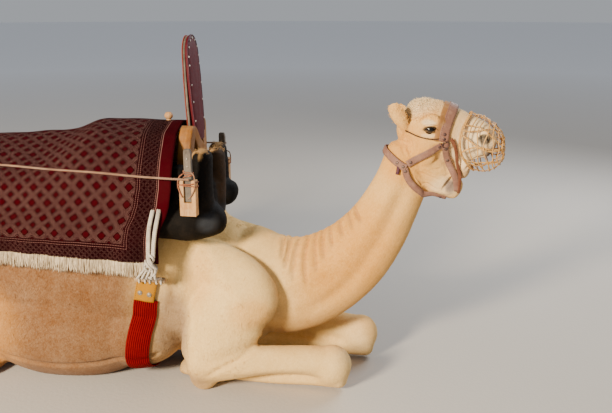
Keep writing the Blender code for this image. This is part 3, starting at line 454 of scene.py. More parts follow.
RIDGES = {  # soft bands
    "upper_brow": (.013, .0065, [(.889, .078, 1.146), (.92, .078, 1.158), (.95, .074, 1.15),
                                 (.968, .07, 1.13)]),
    "cheekbone": (.014, .0045, [(.88, .084, 1.07), (.93, .082, 1.06), (.98, .074, 1.048), (1.02, .064, 1.04)]),
    "temple": (.02, -.0055, [(.868, .07, 1.14), (.878, .068, 1.12)]),
    "nose_side": (.018, -.004, [(1.02, .05, 1.12), (1.06, .048, 1.105), (1.1, .046, 1.1)]),
    "nostril_wing": (.009, .0045, [(1.122, .048, 1.094), (1.142, .05, 1.103), (1.165, .044, 1.092)]),
    "lower_lip": (.01, .0065, [(.985, .052, .848), (1.01, .048, .846), (1.034, .038, .858)]),
    "jaw_edge": (.014, .004, [(.85, .07, .95), (.88, .066, .89), (.93, .056, .835), (.98, .046, .822)]),
    "throat_groove": (.03, -.011, [(.85, .07, .9), (.79, .078, .74), (.72, .085, .6), (.6, .1, .43),
                                       (.45, .115, .32)]),
    "neck_cord": (.034, .008, [(.8, .08, .9), (.73, .088, .76), (.64, .1, .62), (.5, .12, .5),
                                  (.33, .15, .43)]),
    "shoulder_blade": (.03, .008, [(.02, .225, .66), (.11, .25, .54), (.2, .28, .42), (.235, .29, .34)]),
    "blade_hollow": (.034, -.006, [(-.03, .255, .56), (.05, .29, .45), (.11, .32, .35)]),
    "forearm_groove": (.016, -.005, [(.12, .335, .15), (.25, .3, .16), (.4, .26, .15)]),
    "forearm_cord": (.018, .005, [(.18, .32, .11), (.34, .285, .115), (.48, .255, .12)]),
    "hip_bone": (.05, .012, [(-1.03, .2, .76), (-1.08, .19, .77)]),
    "thigh_groove": (.03, -.008, [(-1.18, .25, .56), (-1.2, .31, .4), (-1.19, .34, .25)]),
}
RIB_COUNT, RIB_PITCH, RIB_FRONT = 9, .078, -.17
NECK_CREASES = 10
EYE = SHIFT + [.93, .07, 1.112]
EYE_RADIUS = .0232
GAZE = np.array([.2, .97, .08])      # the way the left eye looks; the right one is its mirror image
LID_HALF_LENGTH, LID_RISE, LID_FALL = .0215, .0108, .009


def away_from(points, path):
    """The distance of every point to a row of straight lines, worked out line by line."""
    best = np.full(len(points), 1e9)
    for a, b in zip(path[:-1], path[1:]):
        run = b - a
        share = np.clip((points - a) @ run / max(run @ run, 1e-12), 0, 1)
        best = np.minimum(best, norm(points - a - share[:, None] * run, axis=1))
    return best


def tree_of(*objects):
    """One search tree over all the given meshes."""
    points, faces = [], []
    for obj in objects:
        base = len(points)
        points += [v.co.copy() for v in obj.data.vertices]
        faces += [[base + i for i in p.vertices] for p in obj.data.polygons]
    return BVHTree.FromPolygons(points, faces)


def on_surface(tree, path):
    """Each point moved to the nearest spot of the surface."""
    return np.array([tree.find_nearest(Vector(p))[0] for p in path])


def neck_creases():
    """Standing folds over the neck, square to its crest: each is a line of length 0.06 + 0.14 exp(-((x -
    0.42) / 0.08)^2) that starts at the crest and goes round the side, so that side = 0.02 + 0.10 sin(way /
    0.11)."""
    made = []
    for k in range(NECK_CREASES):
        x = 0.33 + 0.0325 * k + 0.006 * math.sin(5 * k)
        long = 0.06 + 0.14 * math.exp(-((x - 0.42) / 0.08) ** 2)
        turn = math.radians(np.interp(x, [0.4, 0.5, 0.64], [0, 10, 44]))
        top = 0.652 + 0.9 * max(0.0, x - 0.42) ** 1.3
        way = np.linspace(0, long, 7)
        ahead = x + way * math.sin(turn) + 0.005 * np.sin(20 * way + k)
        aside = 0.02 + 0.1 * np.sin(np.minimum(way / 0.11, 1.5))
        path = np.stack([ahead, aside, top - way * math.cos(turn)], axis=1)
        made.append((0.009 + 0.002 * (k % 3), -0.0095 - 0.0025 * (k % 2), path))
    return made


def all_strokes():
    """Every stroke as (kind, reach, height, path of the left side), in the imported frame."""
    strokes = [("fold", *row) for row in FOLDS.values()] + [("fold", *row) for row in neck_creases()]
    strokes += [("ridge", *row) for row in RIDGES.values()]
    for k in range(RIB_COUNT):
        x = RIB_FRONT - RIB_PITCH * k
        strokes.append(("ridge", 0.024, 0.0032, [(x + 0.04, .33, .56), (x, .365, .42), (x - 0.05, .37, .26)]))
    return [(kind, reach, height, smooth_rows(path, 5) + SHIFT) for kind, reach, height, path in strokes]


def thinned(flesh):
    """Fewer, larger faces on the body, while the head keeps nearly all of its own."""
    points = points_of(flesh) - SHIFT
    far = norm(points - LENS_MIDDLE, axis=1)
    group = flesh.vertex_groups.new(name="plain")
    weight = np.clip((far - 0.22) / 0.25, 0.12, 1).round(2)
    for value in np.unique(weight):
        group.add(np.nonzero(weight == value)[0].tolist(), float(value), "REPLACE")
    thin = flesh.modifiers.new("thin", "DECIMATE")
    thin.ratio = min(1.0, SKIN_TRIANGLES / (2 * len(flesh.data.polygons)))
    thin.vertex_group, thin.vertex_group_factor = "plain", 0.6
    return shaded_smooth(applied(flesh))


def sculpted(flesh):
    """Moves the skin along its normal, with q = (distance / reach)^2: a ridge by height * exp(-q), and a fold
    by height * (1 - 0.8 q) * exp(-q), which throws up a low lip on either side of a groove."""
    tree = tree_of(flesh)
    points, normals = points_of(flesh), normals_of(flesh)
    move = np.zeros(len(points))
    for kind, reach, height, path in all_strokes():
        for sign in (-1, 1):
            route = path * [1, sign, 1]
            on_foreleg = kind == "ridge" and path[0, 2] < 0.24 and 0.1 < path[0, 0] < 0.8
            if sign > 0 and on_foreleg:
                route = route + [KNEE_AHEAD, 0, 0]
            route = on_surface(tree, route)
            near = np.all((points > route.min(0) - 3 * reach) & (points < route.max(0) + 3 * reach), axis=1)
            q = (away_from(points[near], route) / reach) ** 2
            ends = np.minimum(*(norm(points[near] - e, axis=1) for e in (route[0], route[-1])))
            fade = np.clip(0.35 + ends / (4 * reach), 0, 1)
            move[near] += height * fade * np.exp(-q) * ((1 - 0.8 * q) if kind == "fold" else 1)
    sway = (0.0016 * np.sin(points[:, 0] * 17 + 3 * np.sin(points[:, 2] * 13)) * np.sin(points[:, 2] * 19 + 1.3)
            * np.clip((0.9 - points[:, 0]) * 4, 0, 1))
    set_points(flesh, points + normals * (move + sway)[:, None])
    return flesh


def lid_frame(sign):
    """The eye's centre, forward and upward vectors, and gaze, on the side of that sign."""
    gaze = unit(GAZE * [1, sign, 1])
    ahead = unit(np.array([1.0, 0, 0]) - gaze * gaze[0])
    return EYE * [1, sign, 1], ahead, unit(np.cross(ahead, gaze) * sign), gaze


def lid_measure(points, sign):
    """How far a point lies from the eye's middle, as a multiple of the almond opening's own edge."""
    centre, ahead, up, gaze = lid_frame(sign)
    away = points - centre
    x, y = away @ ahead / LID_HALF_LENGTH, away @ up
    y = np.where(y > 0, y / LID_RISE, -y / LID_FALL)
    near = (away @ gaze > 0) & (norm(away, axis=1) < 0.09)
    return np.where(near, np.hypot(x, y), 99.0)


def opened_for_eyes(flesh):
    """Presses the skin in behind each pair of lids, so that the ball shows in their opening."""
    points = points_of(flesh)
    for sign in (-1, 1):
        gaze = lid_frame(sign)[3]
        depth = np.clip((2.05 - lid_measure(points, sign)) / 0.75, 0, 1)
        points -= gaze * (0.016 * eased(depth))[:, None]
    set_points(flesh, points)
    return flesh


# ---- the coat's colours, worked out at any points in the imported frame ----
CREAM, TAN, FLANK = (.8, .54, .2), (.68, .3, .036), (.16, .062, .0145)
PALE, BARE, DUSK_AND_SHADE = (.86, .68, .41), (.43, .27, .14), (.19, .085, .03)
LIP_GREY, NOSE, DARK_AND_SHADE, SHADE = (.2, .14, .115), (.06, .042, .036), (.016, .009, .006), (.24, .145, .08)
# The dusky spots under the breast, along the belly where it rests on the floor, at the neck base and on the
# flank, and the shade spot behind the elbow, are painted shade; the dusky tail tip is the hair's own colour.
SPOTS = [   # colour, centre on the left side, radii, how strong
    (CREAM, (.1, .25, .42), (.34, .4, .42), 1.0), (PALE, (.62, .17, .1), (.1, .12, .1), .7),
    (CREAM, (.3, .2, .1), (.5, .2, .13), .9), (BARE, (.672, .178, .075), (.035, .05, .05), .55),
    (BARE, (0.0, .31, .045), (.07, .06, .055), .6), (DUSK_AND_SHADE, (.3, 0.0, .1), (.16, .12, .2), .2),
    (PALE, (1.09, 0.0, 1.05), (.13, .1, .14), 1.0), (PALE, (1.0, .045, .87), (.07, .05, .055), .55),
    (LIP_GREY, (1.02, .045, .88), (.026, .03, .034), .95), (BARE, (1.072, .01, .93), (.035, .05, .032), .6),
    (LIP_GREY, (1.185, 0.0, 1.015), (.055, .07, .045), .95),
    (NOSE, (1.146, .052, 1.074), (.03, .022, .022), .9),
    (NOSE, (1.172, .04, 1.012), (.024, .03, .018), .8),
    (PALE, (.89, 0.0, 1.2), (.09, .08, .065), .9), (PALE, (.985, 0.0, 1.165), (.075, .07, .05), .7),
    (PALE, (.925, .088, 1.14), (.032, .02, .014), .75),
    (PALE, (.925, .088, 1.088), (.034, .02, .01), .65), (TAN, (.83, .07, 1.01), (.12, .1, .12), .75),
    (TAN, (.6, .12, .62), (.24, .22, .3), .7), (DUSK_AND_SHADE, (-1.458, .035, .15), (.07, .07, .15), .85),
    (DUSK_AND_SHADE, (-.55, .34, .06), (.62, .18, .12), .7), (TAN, (-1.0, .28, .22), (.3, .18, .22), .4),
    (BARE, (.845, 0.0, .975), (.05, .05, .12), .25), (SHADE, (-.1, .3, .26), (.085, .26, .22), .85),
    (DUSK_AND_SHADE, (.315, .2, .315), (.055, .14, .055), .4), (TAN, (.25, .29, .36), (.1, .1, .07), .45),
    (TAN, (.02, .3, .52), (.07, .12, .16), .35), (DUSK_AND_SHADE, (-.74, .36, .4), (.1, .12, .1), .35),
]


def toward(colours, goal, share):
    """Each colour moved to the goal by its own share."""
    return colours + (np.array(goal) - colours) * np.clip(share, 0, 1)[:, None]


def markings(points):
    """Cream in front and browner behind the shoulder, then soft spots: each eases from nothing at 1.25 radii
    to its strength at 0.55, with lips, nostrils and the edges of the lids dark. Painted shade darkens the
    slits of the mouth and nostrils, two muzzle creases, the neck creases, a ring round each eye and the
    spots so marked in the table. Both sides are marked alike."""
    p, folded = points - SHIFT, folded_over(points)
    blotch = (np.sin(p[:, 0] * 9 + 2 * np.sin(p[:, 2] * 7 + p[:, 1] * 3))
              * np.sin(p[:, 2] * 11 + 1.7 * np.sin(p[:, 0] * 6)))
    colour = toward(np.tile(np.array(CREAM), (len(p), 1)), TAN, 0.5 + 0.16 * blotch)
    colour = toward(colour, FLANK, (-0.015 - 0.1 * (p[:, 2] - 0.4) - p[:, 0] + 0.03 * blotch) / 0.16)
    colour = toward(colour, TAN, (-p[:, 0] - 1.0) / 0.5 * 0.55)
    for goal, centre, radii, strong in SPOTS:
        distance = norm((folded - centre) / radii, axis=1)
        share = np.clip((1.25 - distance) / 0.7, 0, 1)
        colour = toward(colour, goal, strong * eased(share))
    # painted shade darkens the slits of the mouth and nostrils and two creases of the muzzle
    for name, wide, strong in (("mouth", 0.0085, 1.0), ("nostril", 0.0065, 1.0), ("upper_lip", 0.0035, 0.7),
                               ("muzzle_fold", 0.003, 0.3)):
        gap = away_from(folded, smooth_rows(FOLDS[name][2], 4))
        colour = toward(colour, DARK_AND_SHADE, strong * np.exp(-(gap / wide) ** 2))
    # painted shade darkens the skin along each neck crease
    for _, _, path in neck_creases():
        near = np.abs(p[:, 0] - path[:, 0].mean()) < 0.1
        near &= (p[:, 2] > path[:, 2].min() - 0.03) & (p[:, 2] < 0.84)
        gap = away_from(p[near] * [1, 0, 1], path * [1, 0, 1])
        colour[near] = toward(colour[near], DUSK_AND_SHADE, 0.46 * np.exp(-(gap / 0.0055) ** 2))
    for sign in (-1, 1):
        rim = lid_measure(points, sign)
        colour = toward(colour, DARK_AND_SHADE, np.clip((1.42 - rim) / 0.25, 0, 1) * 0.9)
        # painted shade: a soft dusky ring round the eye
        colour = toward(colour, DUSK_AND_SHADE, np.clip((1.9 - rim) / 0.8, 0, 1) * 0.25)
    return colour


def painted(obj, colours):
    """Gives a mesh its colours as a point attribute."""
    layer = obj.data.attributes.new("marking", "FLOAT_COLOR", "POINT")
    opaque = np.hstack([colours, np.ones((len(colours), 1))])
    layer.data.foreach_set("color", opaque.astype(np.float32).ravel())
    return obj


# ---- materials ----
def put(socket, value):
    """Links a value to a socket, or sets it there; a colour of three numbers becomes opaque."""
    if isinstance(value, bpy.types.NodeSocket):
        socket.id_data.links.new(value, socket)
    else:
        opaque = socket.type == "RGBA" and len(value) == 3
        socket.default_value = (*value, 1) if opaque else value


def node(tree, kind, inputs=None, **settings):
    """A node with its settings made and its inputs linked or set."""
    made = tree.nodes.new(kind)
    for key, value in settings.items():
        setattr(made, key, value)
    for key, value in (inputs or {}).items():
        put(made.inputs[key], value)
    return made


def tree_under(*values):
    """The node tree of the first socket among the values."""
    return next(v.id_data for v in values if isinstance(v, bpy.types.NodeSocket))


def noise(where, scale, detail=2.0, rough=0.5, distortion=0.0):
    """Noise at a place, from 0 to 1."""
    return node(where.id_data, "ShaderNodeTexNoise", {"Vector": where, "Scale": scale, "Detail": detail,
                                                      "Roughness": rough,
                                                      "Distortion": distortion}).outputs["Fac"]


def mapped(where, scale=(1, 1, 1), move=(0, 0, 0)):
    """The place times the scale and moved."""
    settings = {"Vector": where, "Scale": scale, "Location": move}
    return node(where.id_data, "ShaderNodeMapping", settings).outputs[0]


def ramp(value, stops):
    """A Color Ramp from (place, value) stops; a value is one number or a colour."""
    made = node(value.id_data, "ShaderNodeValToRGB", {"Fac": value})
    elements = made.color_ramp.elements
    while len(elements) < len(stops):
        elements.new(0.5)
    for element, (place, what) in zip(elements, stops):
        element.position = place
        element.color = (*what, 1) if hasattr(what, "__len__") else (what, what, what, 1)
    return made.outputs["Color"]


def mixed(share, a, b, blend="MIX"):
    """Colour a with that share of colour b."""
    made = node(tree_under(share, a, b), "ShaderNodeMix", data_type="RGBA", blend_type=blend, clamp_factor=True)
    for index, value in ((0, share), (6, a), (7, b)):
        put(made.inputs[index], value)
    return made.outputs[2]


def maths(operation):
    """A function that works out its values, of which one at least is a socket, in a Math node."""

    def worked_out(*values):
        made = node(tree_under(*values), "ShaderNodeMath", operation=operation)
        for socket, value in zip(made.inputs, values):
            put(socket, value)
        return made.outputs[0]

    return worked_out


plus, minus, times, ratio = (maths(kind) for kind in ("ADD", "SUBTRACT", "MULTIPLY", "DIVIDE"))
larger, smaller, above, below = (maths(kind) for kind in ("MAXIMUM", "MINIMUM", "GREATER_THAN", "LESS_THAN"))
fraction, magnitude, sine = (maths(kind) for kind in ("FRACT", "ABSOLUTE", "SINE"))


def between(value, low, high):
    """1 where the value lies between the two limits, and 0 elsewhere."""
    return times(above(value, low), below(value, high))


class Finish:
    """A Principled material under way: its tree, shader, and Object coordinates."""

    def __init__(self, name, **plain):
        self.material = bpy.data.materials.new(name)
        self.material.use_nodes = True
        self.tree = self.material.node_tree
        self.shader = self.tree.nodes["Principled BSDF"]
        self.where = node(self.tree, "ShaderNodeTexCoord").outputs["Object"]
        self.uv = node(self.tree, "ShaderNodeUVMap").outputs["UV"]
        for key, value in plain.items():
            put(self.shader.inputs[key.replace("_", " ")], value)

    def link(self, value, socket):
        """Gives an input of the shader its value."""
        put(self.shader.inputs[socket], value)

    def bump(self, height, distance):
        """Takes a height as bump, of that many metres."""
        made = node(self.tree, "ShaderNodeBump", {"Height": height, "Distance": distance, "Strength": 1.0})
        self.link(made.outputs["Normal"], "Normal")

    def cut(self, name):
        """The two coordinates of a UV map."""
        both = node(self.tree, "ShaderNodeUVMap", uv_map=name).outputs["UV"]
        return node(self.tree, "ShaderNodeSeparateXYZ", {"Vector": both}).outputs[:2]

    def pores(self, scale):
        """The distance from the nearest of scattered points, scale to the metre."""
        return node(self.tree, "ShaderNodeTexVoronoi",
                    {"Vector": self.where, "Scale": scale}).outputs["Distance"]

    def group(self, tree, **values):
        """The outputs of a shared effect, fed with these values."""
        return node(self.tree, "ShaderNodeGroup", values, node_tree=tree).outputs

    def worn(self, colour, worn, scale, wear, dust):
        """Colours it through the group for use and dust, and gives back how much of them lies where."""
        made = self.group(WORN, Where=self.where, Colour=colour, Worn=worn, Scale=scale, Wear=wear, Dust=dust)
        self.link(made["Colour"], "Base Color")
        return made["Mask"]


def effect(name, inputs, outputs):
    """An empty shader node group. An input given nothing is a vector, and one given three numbers is a
    colour."""
    tree = bpy.data.node_groups.new(name, "ShaderNodeTree")
    for key, value in inputs.items():
        kind = "Vector" if value is None else "Color" if isinstance(value, tuple) else "Float"
        socket = tree.interface.new_socket(key, in_out="INPUT", socket_type="NodeSocket" + kind)
        if value is not None:
            socket.default_value = (*value, 1) if kind == "Color" else value
    for key, kind in outputs.items():
        tree.interface.new_socket(key, in_out="OUTPUT", socket_type="NodeSocket" + kind)
    return tree, tree.nodes.new("NodeGroupInput").outputs, tree.nodes.new("NodeGroupOutput").inputs


def worn_effect():
    """Use and dust on made things: the colour fades in patches, and pale dust lies in others."""
    tree, given, out = effect("worn", {"Where": None, "Colour": (0.5, 0.5, 0.5), "Worn": (0.7, 0.6, 0.5),
                                       "Scale": 40.0,
                                       "Wear": 0.4, "Dust": 0.25}, {"Colour": "Color", "Mask": "Float"})
    patch = ramp(noise(given["Where"], given["Scale"], 4.0, 0.65), [(0.48, 0.0), (0.66, 1.0)])
    scuff = times(patch, given["Wear"])
    faded = mixed(scuff, given["Colour"], given["Worn"])
    speck = ramp(noise(mapped(given["Where"], move=(3, 1, 2)), 9.0, 5.0, 0.7), [(0.42, 0.0), (0.75, 1.0)])
    dusty = times(speck, given["Dust"])
    put(out["Colour"], mixed(dusty, faded, (0.52, 0.42, 0.3)))
    put(out["Mask"], larger(scuff, dusty))
    return tree


def hide_effect():
    """Hair seen from near: streaks and blotches that lighten and darken a colour, and their height."""
    tree, given, out = effect("hair", {"Where": None, "Colour": (0.5, 0.5, 0.5), "Depth": 0.5},
                              {"Colour": "Color", "Height": "Float"})
    fine = noise(mapped(given["Where"], (210, 260, 120)), 1.0, 3.0, 0.6, 0.6)
    broad = noise(given["Where"], 11.0, 4.0, 0.6)
    mottle = noise(given["Where"], 55.0, 3.0, 0.6)
    shade = plus(times(fine, 0.5), plus(times(broad, 0.28), times(mottle, 0.22)))
    dark = mixed(1.0, given["Colour"], (0.74, 0.66, 0.56), "MULTIPLY")
    light = mixed(0.14, given["Colour"], (1.0, 0.86, 0.62))
    both = mixed(ramp(shade, [(0.38, 0.0), (0.62, 1.0)]), dark, light)
    put(out["Colour"], mixed(given["Depth"], given["Colour"], both))
    put(out["Height"], plus(fine, times(mottle, 0.5)))
    return tree


WORN, HAIR = worn_effect(), hide_effect()


def marked(made):
    """The colours that a mesh carries at its points."""
    return node(made.tree, "ShaderNodeAttribute", attribute_name="marking").outputs["Color"]


def coat_finish(name, depth, bump):
    """Hair in the colours of the points, with its own height as bump."""
    made = Finish(name, Roughness=0.86, Sheen_Weight=0.05, Sheen_Roughness=0.5, Specular_IOR_Level=0.14)
    hair = made.group(HAIR, Where=made.where, Colour=marked(made), Depth=depth)
    made.link(hair["Colour"], "Base Color")
    made.bump(hair["Height"], bump)
    return made.material


def eye_finish():
    """Deep brown round a wide dark pupil, under a clear wet coat; the UV runs from the pupil outwards."""
    made = Finish("eye", Roughness=0.14, Coat_Weight=0.35, Coat_Roughness=0.05, Specular_IOR_Level=0.3)
    out = node(made.tree, "ShaderNodeSeparateXYZ", {"Vector": made.uv}).outputs["Y"]
    ring = ramp(out, [(0.0, (0.004, 0.003, 0.003)), (0.16, (0.005, 0.004, 0.003)), (0.21, (0.03, 0.012, 0.005)),
                      (0.36, (0.018, 0.007, 0.003)), (0.42, (0.006, 0.003, 0.002)),
                      (0.55, (0.1, 0.065, 0.045))])
    streak = noise(mapped(made.uv, (60, 3, 1)), 1.0, 2.0)
    made.link(mixed(streak, ring, (0.35, 0.25, 0.15), "SOFT_LIGHT"), "Base Color")
    return made.material


# ---- lids, eyes and lashes ----
def ray_height(tree, spots, gaze):
    """How far out along gaze the surface lies from each spot."""
    out = []
    for spot in spots:
        hit = tree.ray_cast(Vector(spot + gaze * 0.1), Vector(-gaze))[0]
        out.append(float(np.dot(np.array(hit) - spot, gaze)) if hit else 0.0)
    return np.array(out)


def almond(turn):
    """How far ahead of the eye's middle and above it the lids' edge lies, at a turn round it."""
    rise = np.sin(turn)
    reach = np.where(rise > 0, LID_RISE, LID_FALL)
    return LID_HALF_LENGTH * np.cos(turn), rise * np.abs(rise) ** 0.35 * reach


def lids(tree, sign):
    """A ring of skin round the eye: its inner edge lies on the ball along an almond, and each further ring is
    the almond times m, at a height that eases from the ball's own to the face's, with a rounded roll at the
    edge."""
    centre, ahead, up, gaze = lid_frame(sign)
    turn = np.arange(96) * 2 * math.pi / 96
    x, y = almond(turn)
    x *= 1 + 0.1 * np.cos(turn) ** 8
    spread = np.array([0.86, 0.93, 1.0, 1.05, 1.12, 1.22, 1.34, 1.48, 1.64, 1.82, 2.02, 2.25, 2.5])
    rings = []
    for m in spread:
        spots = centre + ahead * (x * m)[:, None] + up * (y * m)[:, None]
        flat = np.hypot(x * m, y * m)
        ball = np.sqrt(np.maximum((EYE_RADIUS + 0.0006) ** 2 - np.minimum(flat, EYE_RADIUS * 0.97) ** 2, 0))
        face = ray_height(tree, spots, gaze) - COAT_DEPTH
        ease = np.clip((m - 1.0) / 1.15, 0, 1) ** 0.8
        roll = 0.0042 * np.exp(-((m - 1.1) / 0.1) ** 2) + 0.003 * np.exp(-((m - 1.42) / 0.16) ** 2) * (y > 0)
        crease = -0.0028 * np.exp(-((m - 1.7) / 0.1) ** 2) * np.clip(y / LID_RISE, 0.25, 1)
        height = ball + (face - ball) * eased(ease) + (0 if m < 0.99 else roll + crease + 0.0008)
        rings.append(spots + gaze * (height - (0.0022 if m > 2.3 else 0))[:, None])
    return np.array(rings)[:, ::int(sign)]


def eyeball(sign):
    """A ball with a slight swell in front: radius * (1 + 0.05 * exp(-(angle / 0.6)^2)) round the gaze."""
    centre, ahead, up, gaze = lid_frame(sign)
    v = np.linspace(0.02, math.pi - 0.02, 40)[:, None]
    u = np.arange(48) * 2 * math.pi / 48
    radius = EYE_RADIUS * (1 + 0.05 * np.exp(-(v / 0.6) ** 2))
    return (centre + (radius * np.sin(v) * np.cos(u))[..., None] * ahead
            + (radius * np.sin(v) * np.sin(u))[..., None] * up + (radius * np.cos(v) + 0 * u)[..., None] * gaze)


def strands(roots, lean, bend, length, wide, joints=4, sides=3, taper=0.7, flat=1.0):
    """Fine tapering hairs, one to a root: at share s along it a hair is root + lean * s * length + bend * s^2
    * length, (1 - s)^taper as wide as at its root, and flat times as thick. Gives points and faces."""
    s = np.linspace(0, 1, joints + 1)[:-1]
    line = roots[:, None] + (lean[:, None] * s[:, None]
                             + bend[:, None] * (s ** 2)[:, None]) * length[:, None, None]
    tip = roots + (lean + bend) * length[:, None]
    across = unit(np.cross(lean, bend + 1e-5 + [[0, 0.3, 0.2]]))
    square = unit(np.cross(lean, across)) * flat
    turn = np.arange(sides) * 2 * math.pi / sides
    ring = (across[:, None, None] * np.cos(turn)[:, None] + square[:, None, None] * np.sin(turn)[:, None])
    body = line[:, :, None] + ring * (wide[:, None] * (1 - s) ** taper)[:, :, None, None] / 2
    points = np.concatenate([body.reshape(len(roots), -1, 3), tip[:, None]], axis=1).reshape(-1, 3)
    quads = np.array(grid_faces(joints, sides, True, False))
    k = np.arange(sides)
    low = (joints - 1) * sides
    ends = np.stack([low + k, low + (k + 1) % sides, np.full(sides, joints * sides)], axis=-1)
    base = (np.arange(len(roots)) * (joints * sides + 1))[:, None, None]
    return points, [face for part in (quads, ends, k[None, ::-1])
                    for face in (part + base).reshape(-1, part.shape[1]).tolist()]


def lashes(sign):
    """Long lashes from both lids, in two rows above and one below, that sweep out and droop."""
    centre, ahead, up, gaze = lid_frame(sign)
    turn = np.concatenate([np.linspace(0.25, 2.95, 44), np.linspace(0.3, 2.9, 40), np.linspace(3.5, 5.9, 26)])
    x, y = almond(turn)
    m = np.where(turn < 3.2, 1.03, 1.05)
    flat = np.minimum(np.hypot(x, y) * m, EYE_RADIUS * 0.97)
    out = np.sqrt(EYE_RADIUS ** 2 - flat ** 2) + 0.003
    roots = centre + ahead * (x * m)[:, None] + up * (y * m)[:, None] + gaze * out[:, None]
    top = (turn < 3.2)[:, None]
    spread = ahead * (x / LID_HALF_LENGTH)[:, None]
    lean = unit(gaze * 0.75 + spread * 0.45 + up * np.where(top, 0.1, -0.35)
                + rng.normal(0, 0.06, (len(turn), 3)))
    bend = unit(up * np.where(top, -0.9, -0.5) + gaze * 0.1) * np.where(top, 0.42, 0.2)
    length = np.where(top[:, 0], 0.0215, 0.011) * rng.uniform(0.85, 1.12, len(turn))
    return strands(roots, lean, bend, length, np.full(len(turn), 0.00075))


# ---- what is laid on a surface ----
HALTER_PATHS = {   # width, points x, y, z beside the left of the head
    "cheek_strap": (.026, [(.98, .08, 1.052), (.945, .083, 1.03), (.895, .083, 1.0), (.848, .08, .97)]),
    "jaw_strap": (.024, [(.84, .078, .955), (.848, .078, .925), (.866, .074, .893), (.905, .066, .855),
                          (.955, .052, .826), (1.005, .04, .822)]),
}
FRONT_STRAP = (.023, [(.992, .074, 1.062), (.996, .066, 1.015), (1.006, .062, .975), (1.028, .056, .94),
                       (1.046, .05, .905), (1.046, .042, .86)])
RED_STRIP = (.011, [(1.012, .072, 1.08), (1.03, .064, 1.05), (1.04, .06, 1.005), (1.046, .057, .965),
                     (1.058, .05, .928), (1.06, .046, .89), (1.05, .04, .852)])
BROW_CORD = [(.836, .086, 1.101), (.87, .088, 1.089), (.905, .09, 1.08), (.945, .088, 1.076),
             (.985, .082, 1.08)]


def relaxed(rows):
    """Every row but the ends moved to the mean of itself, counted twice, and its two neighbours."""
    return np.vstack([rows[:1], (rows[:-2] + 2 * rows[1:-1] + rows[2:]) / 4, rows[-1:]])


class Band:
    """A flat band laid along a path on a surface. At each station its width is sampled square to the run;
    where the surface dips, the band bridges: its heights only rise towards the mean of their neighbours."""

    def __init__(self, tree, path, width, thick, lift=0.003, steps=8, across=7, bridge=10, even=2):
        run = smooth_rows(path, steps)
        found = [tree.find_nearest(Vector(p)) for p in run]
        spots = np.array([f[0] for f in found])
        up = np.array([f[1] for f in found])
        for _ in range(6 + even):
            up = unit(relaxed(up))
        for _ in range(even):
            spots = relaxed(spots)
        ahead = unit(np.gradient(spots, axis=0))
        side = unit(np.cross(up, ahead))
        up = unit(np.cross(ahead, side))
        k = np.linspace(-0.5, 0.5, across)
        width = np.broadcast_to(width, len(run))
        places = spots[:, None] + side[:, None] * (k[None, :, None] * width[:, None, None])
        high = np.zeros(places.shape[:2])
        for i in range(len(run)):
            for j in range(across):
                hit = tree.ray_cast(Vector(places[i, j] + up[i] * 0.06), Vector(-up[i]), 0.16)[0]
                high[i, j] = (np.array(hit) - places[i, j]) @ up[i] if hit else -0.012
        for _ in range(bridge):
            high = np.maximum(high, np.vstack([high[:1], (high[:-2] + high[2:]) / 2, high[-1:]]))
            high = np.maximum(high, high[:, :1] + (high[:, -1:] - high[:, :1]) * np.linspace(0, 1, across))
        self.low = places + up[:, None] * (high + lift)[..., None]
        self.up, self.side, self.ahead, self.width, self.thick = up, side, ahead, width, thick
        self.top = self.low + up[:, None] * thick

    def grid(self):
        """The band's rounded section carried along: under side, an edge, the crowned upper side, the other
        edge."""
        bulge = self.side[:, None] * self.thick * 0.35
        middle = (self.low + self.top) / 2
        crown = self.top.copy()
        crown[:, 0] -= self.up * self.thick * 0.22
        crown[:, -1] -= self.up * self.thick * 0.22
        return np.concatenate([self.low, middle[:, -1:] + bulge, crown[:, ::-1], middle[:, :1] - bulge], axis=1)

    def at(self, along, across, above=0.0):
        """A point on the upper side: along runs 0 to 1, and across from -0.5 to 0.5. Also the frame there."""
        i = np.clip(along * (len(self.top) - 1), 0, len(self.top) - 1.001)
        j = np.clip((across + 0.5) * (self.top.shape[1] - 1), 0, self.top.shape[1] - 1.001)
        a, b, s, t = int(i), int(j), i - int(i), j - int(j)
        rows = self.top[a:a + 2, b:b + 2]
        spot = (rows[0, 0] * (1 - t) + rows[0, 1] * t) * (1 - s) + (rows[1, 0] * (1 - t) + rows[1, 1] * t) * s
        return spot + self.up[a] * above, self.ahead[a], self.side[a], self.up[a]


def stitches(band, inset=0.003, length=0.0052, gap=0.003, wide=0.0011, thick=0.0007):
    """Rows of short thread bars along both edges of a band, each a little box with its upper edges drawn in."""
    sides = np.array([(0, 3, 2, 1), (4, 5, 6, 7), (0, 1, 5, 4), (1, 2, 6, 5), (2, 3, 7, 6), (3, 0, 4, 7)])
    points = []
    for edge, inward in ((0, 1), (-1, -1)):
        line = band.top[:, edge] + band.side * (inward * inset)
        run = way_along(line)
        starts = np.arange(0.004, run[-1] - length - 0.002, length + gap)
        a, b = read_at(starts, run, line), read_at(starts + length, run, line)
        up, side = unit(read_at(starts, run, band.up)), unit(read_at(starts, run, band.side))
        box = [end + side * (s * wide / 2) + up * (h * thick) + unit(other - end) * 0.0006 * k
               for end, other in ((a, b), (b, a))
               for s, h, k in ((-1, -0.3, 0), (1, -0.3, 0), (0.6, 1, 1), (-0.6, 1, 1))]
        points.append(np.stack(box, axis=1).reshape(-1, 3))
    points = np.vstack(points)
    bars = np.arange(len(points) // 8) * 8
    return points, (sides + bars[:, None, None]).reshape(-1, 4).tolist()


def dome(spot, ahead, side, up, radius, height, rings=5, around=16):
    """A rivet head: radius * cos v out and height * sin v up, on a short skirt."""
    v = np.concatenate([[-0.25], np.linspace(0, math.pi / 2 * 0.96, rings)])
    u = np.arange(around) * 2 * math.pi / around
    out = radius * np.cos(np.maximum(v, 0))[:, None]
    rise = (height * np.sin(v))[:, None] + 0 * u
    level = (out * np.cos(u))[..., None] * ahead + (out * np.sin(u))[..., None] * side
    return spot + level + rise[..., None] * up


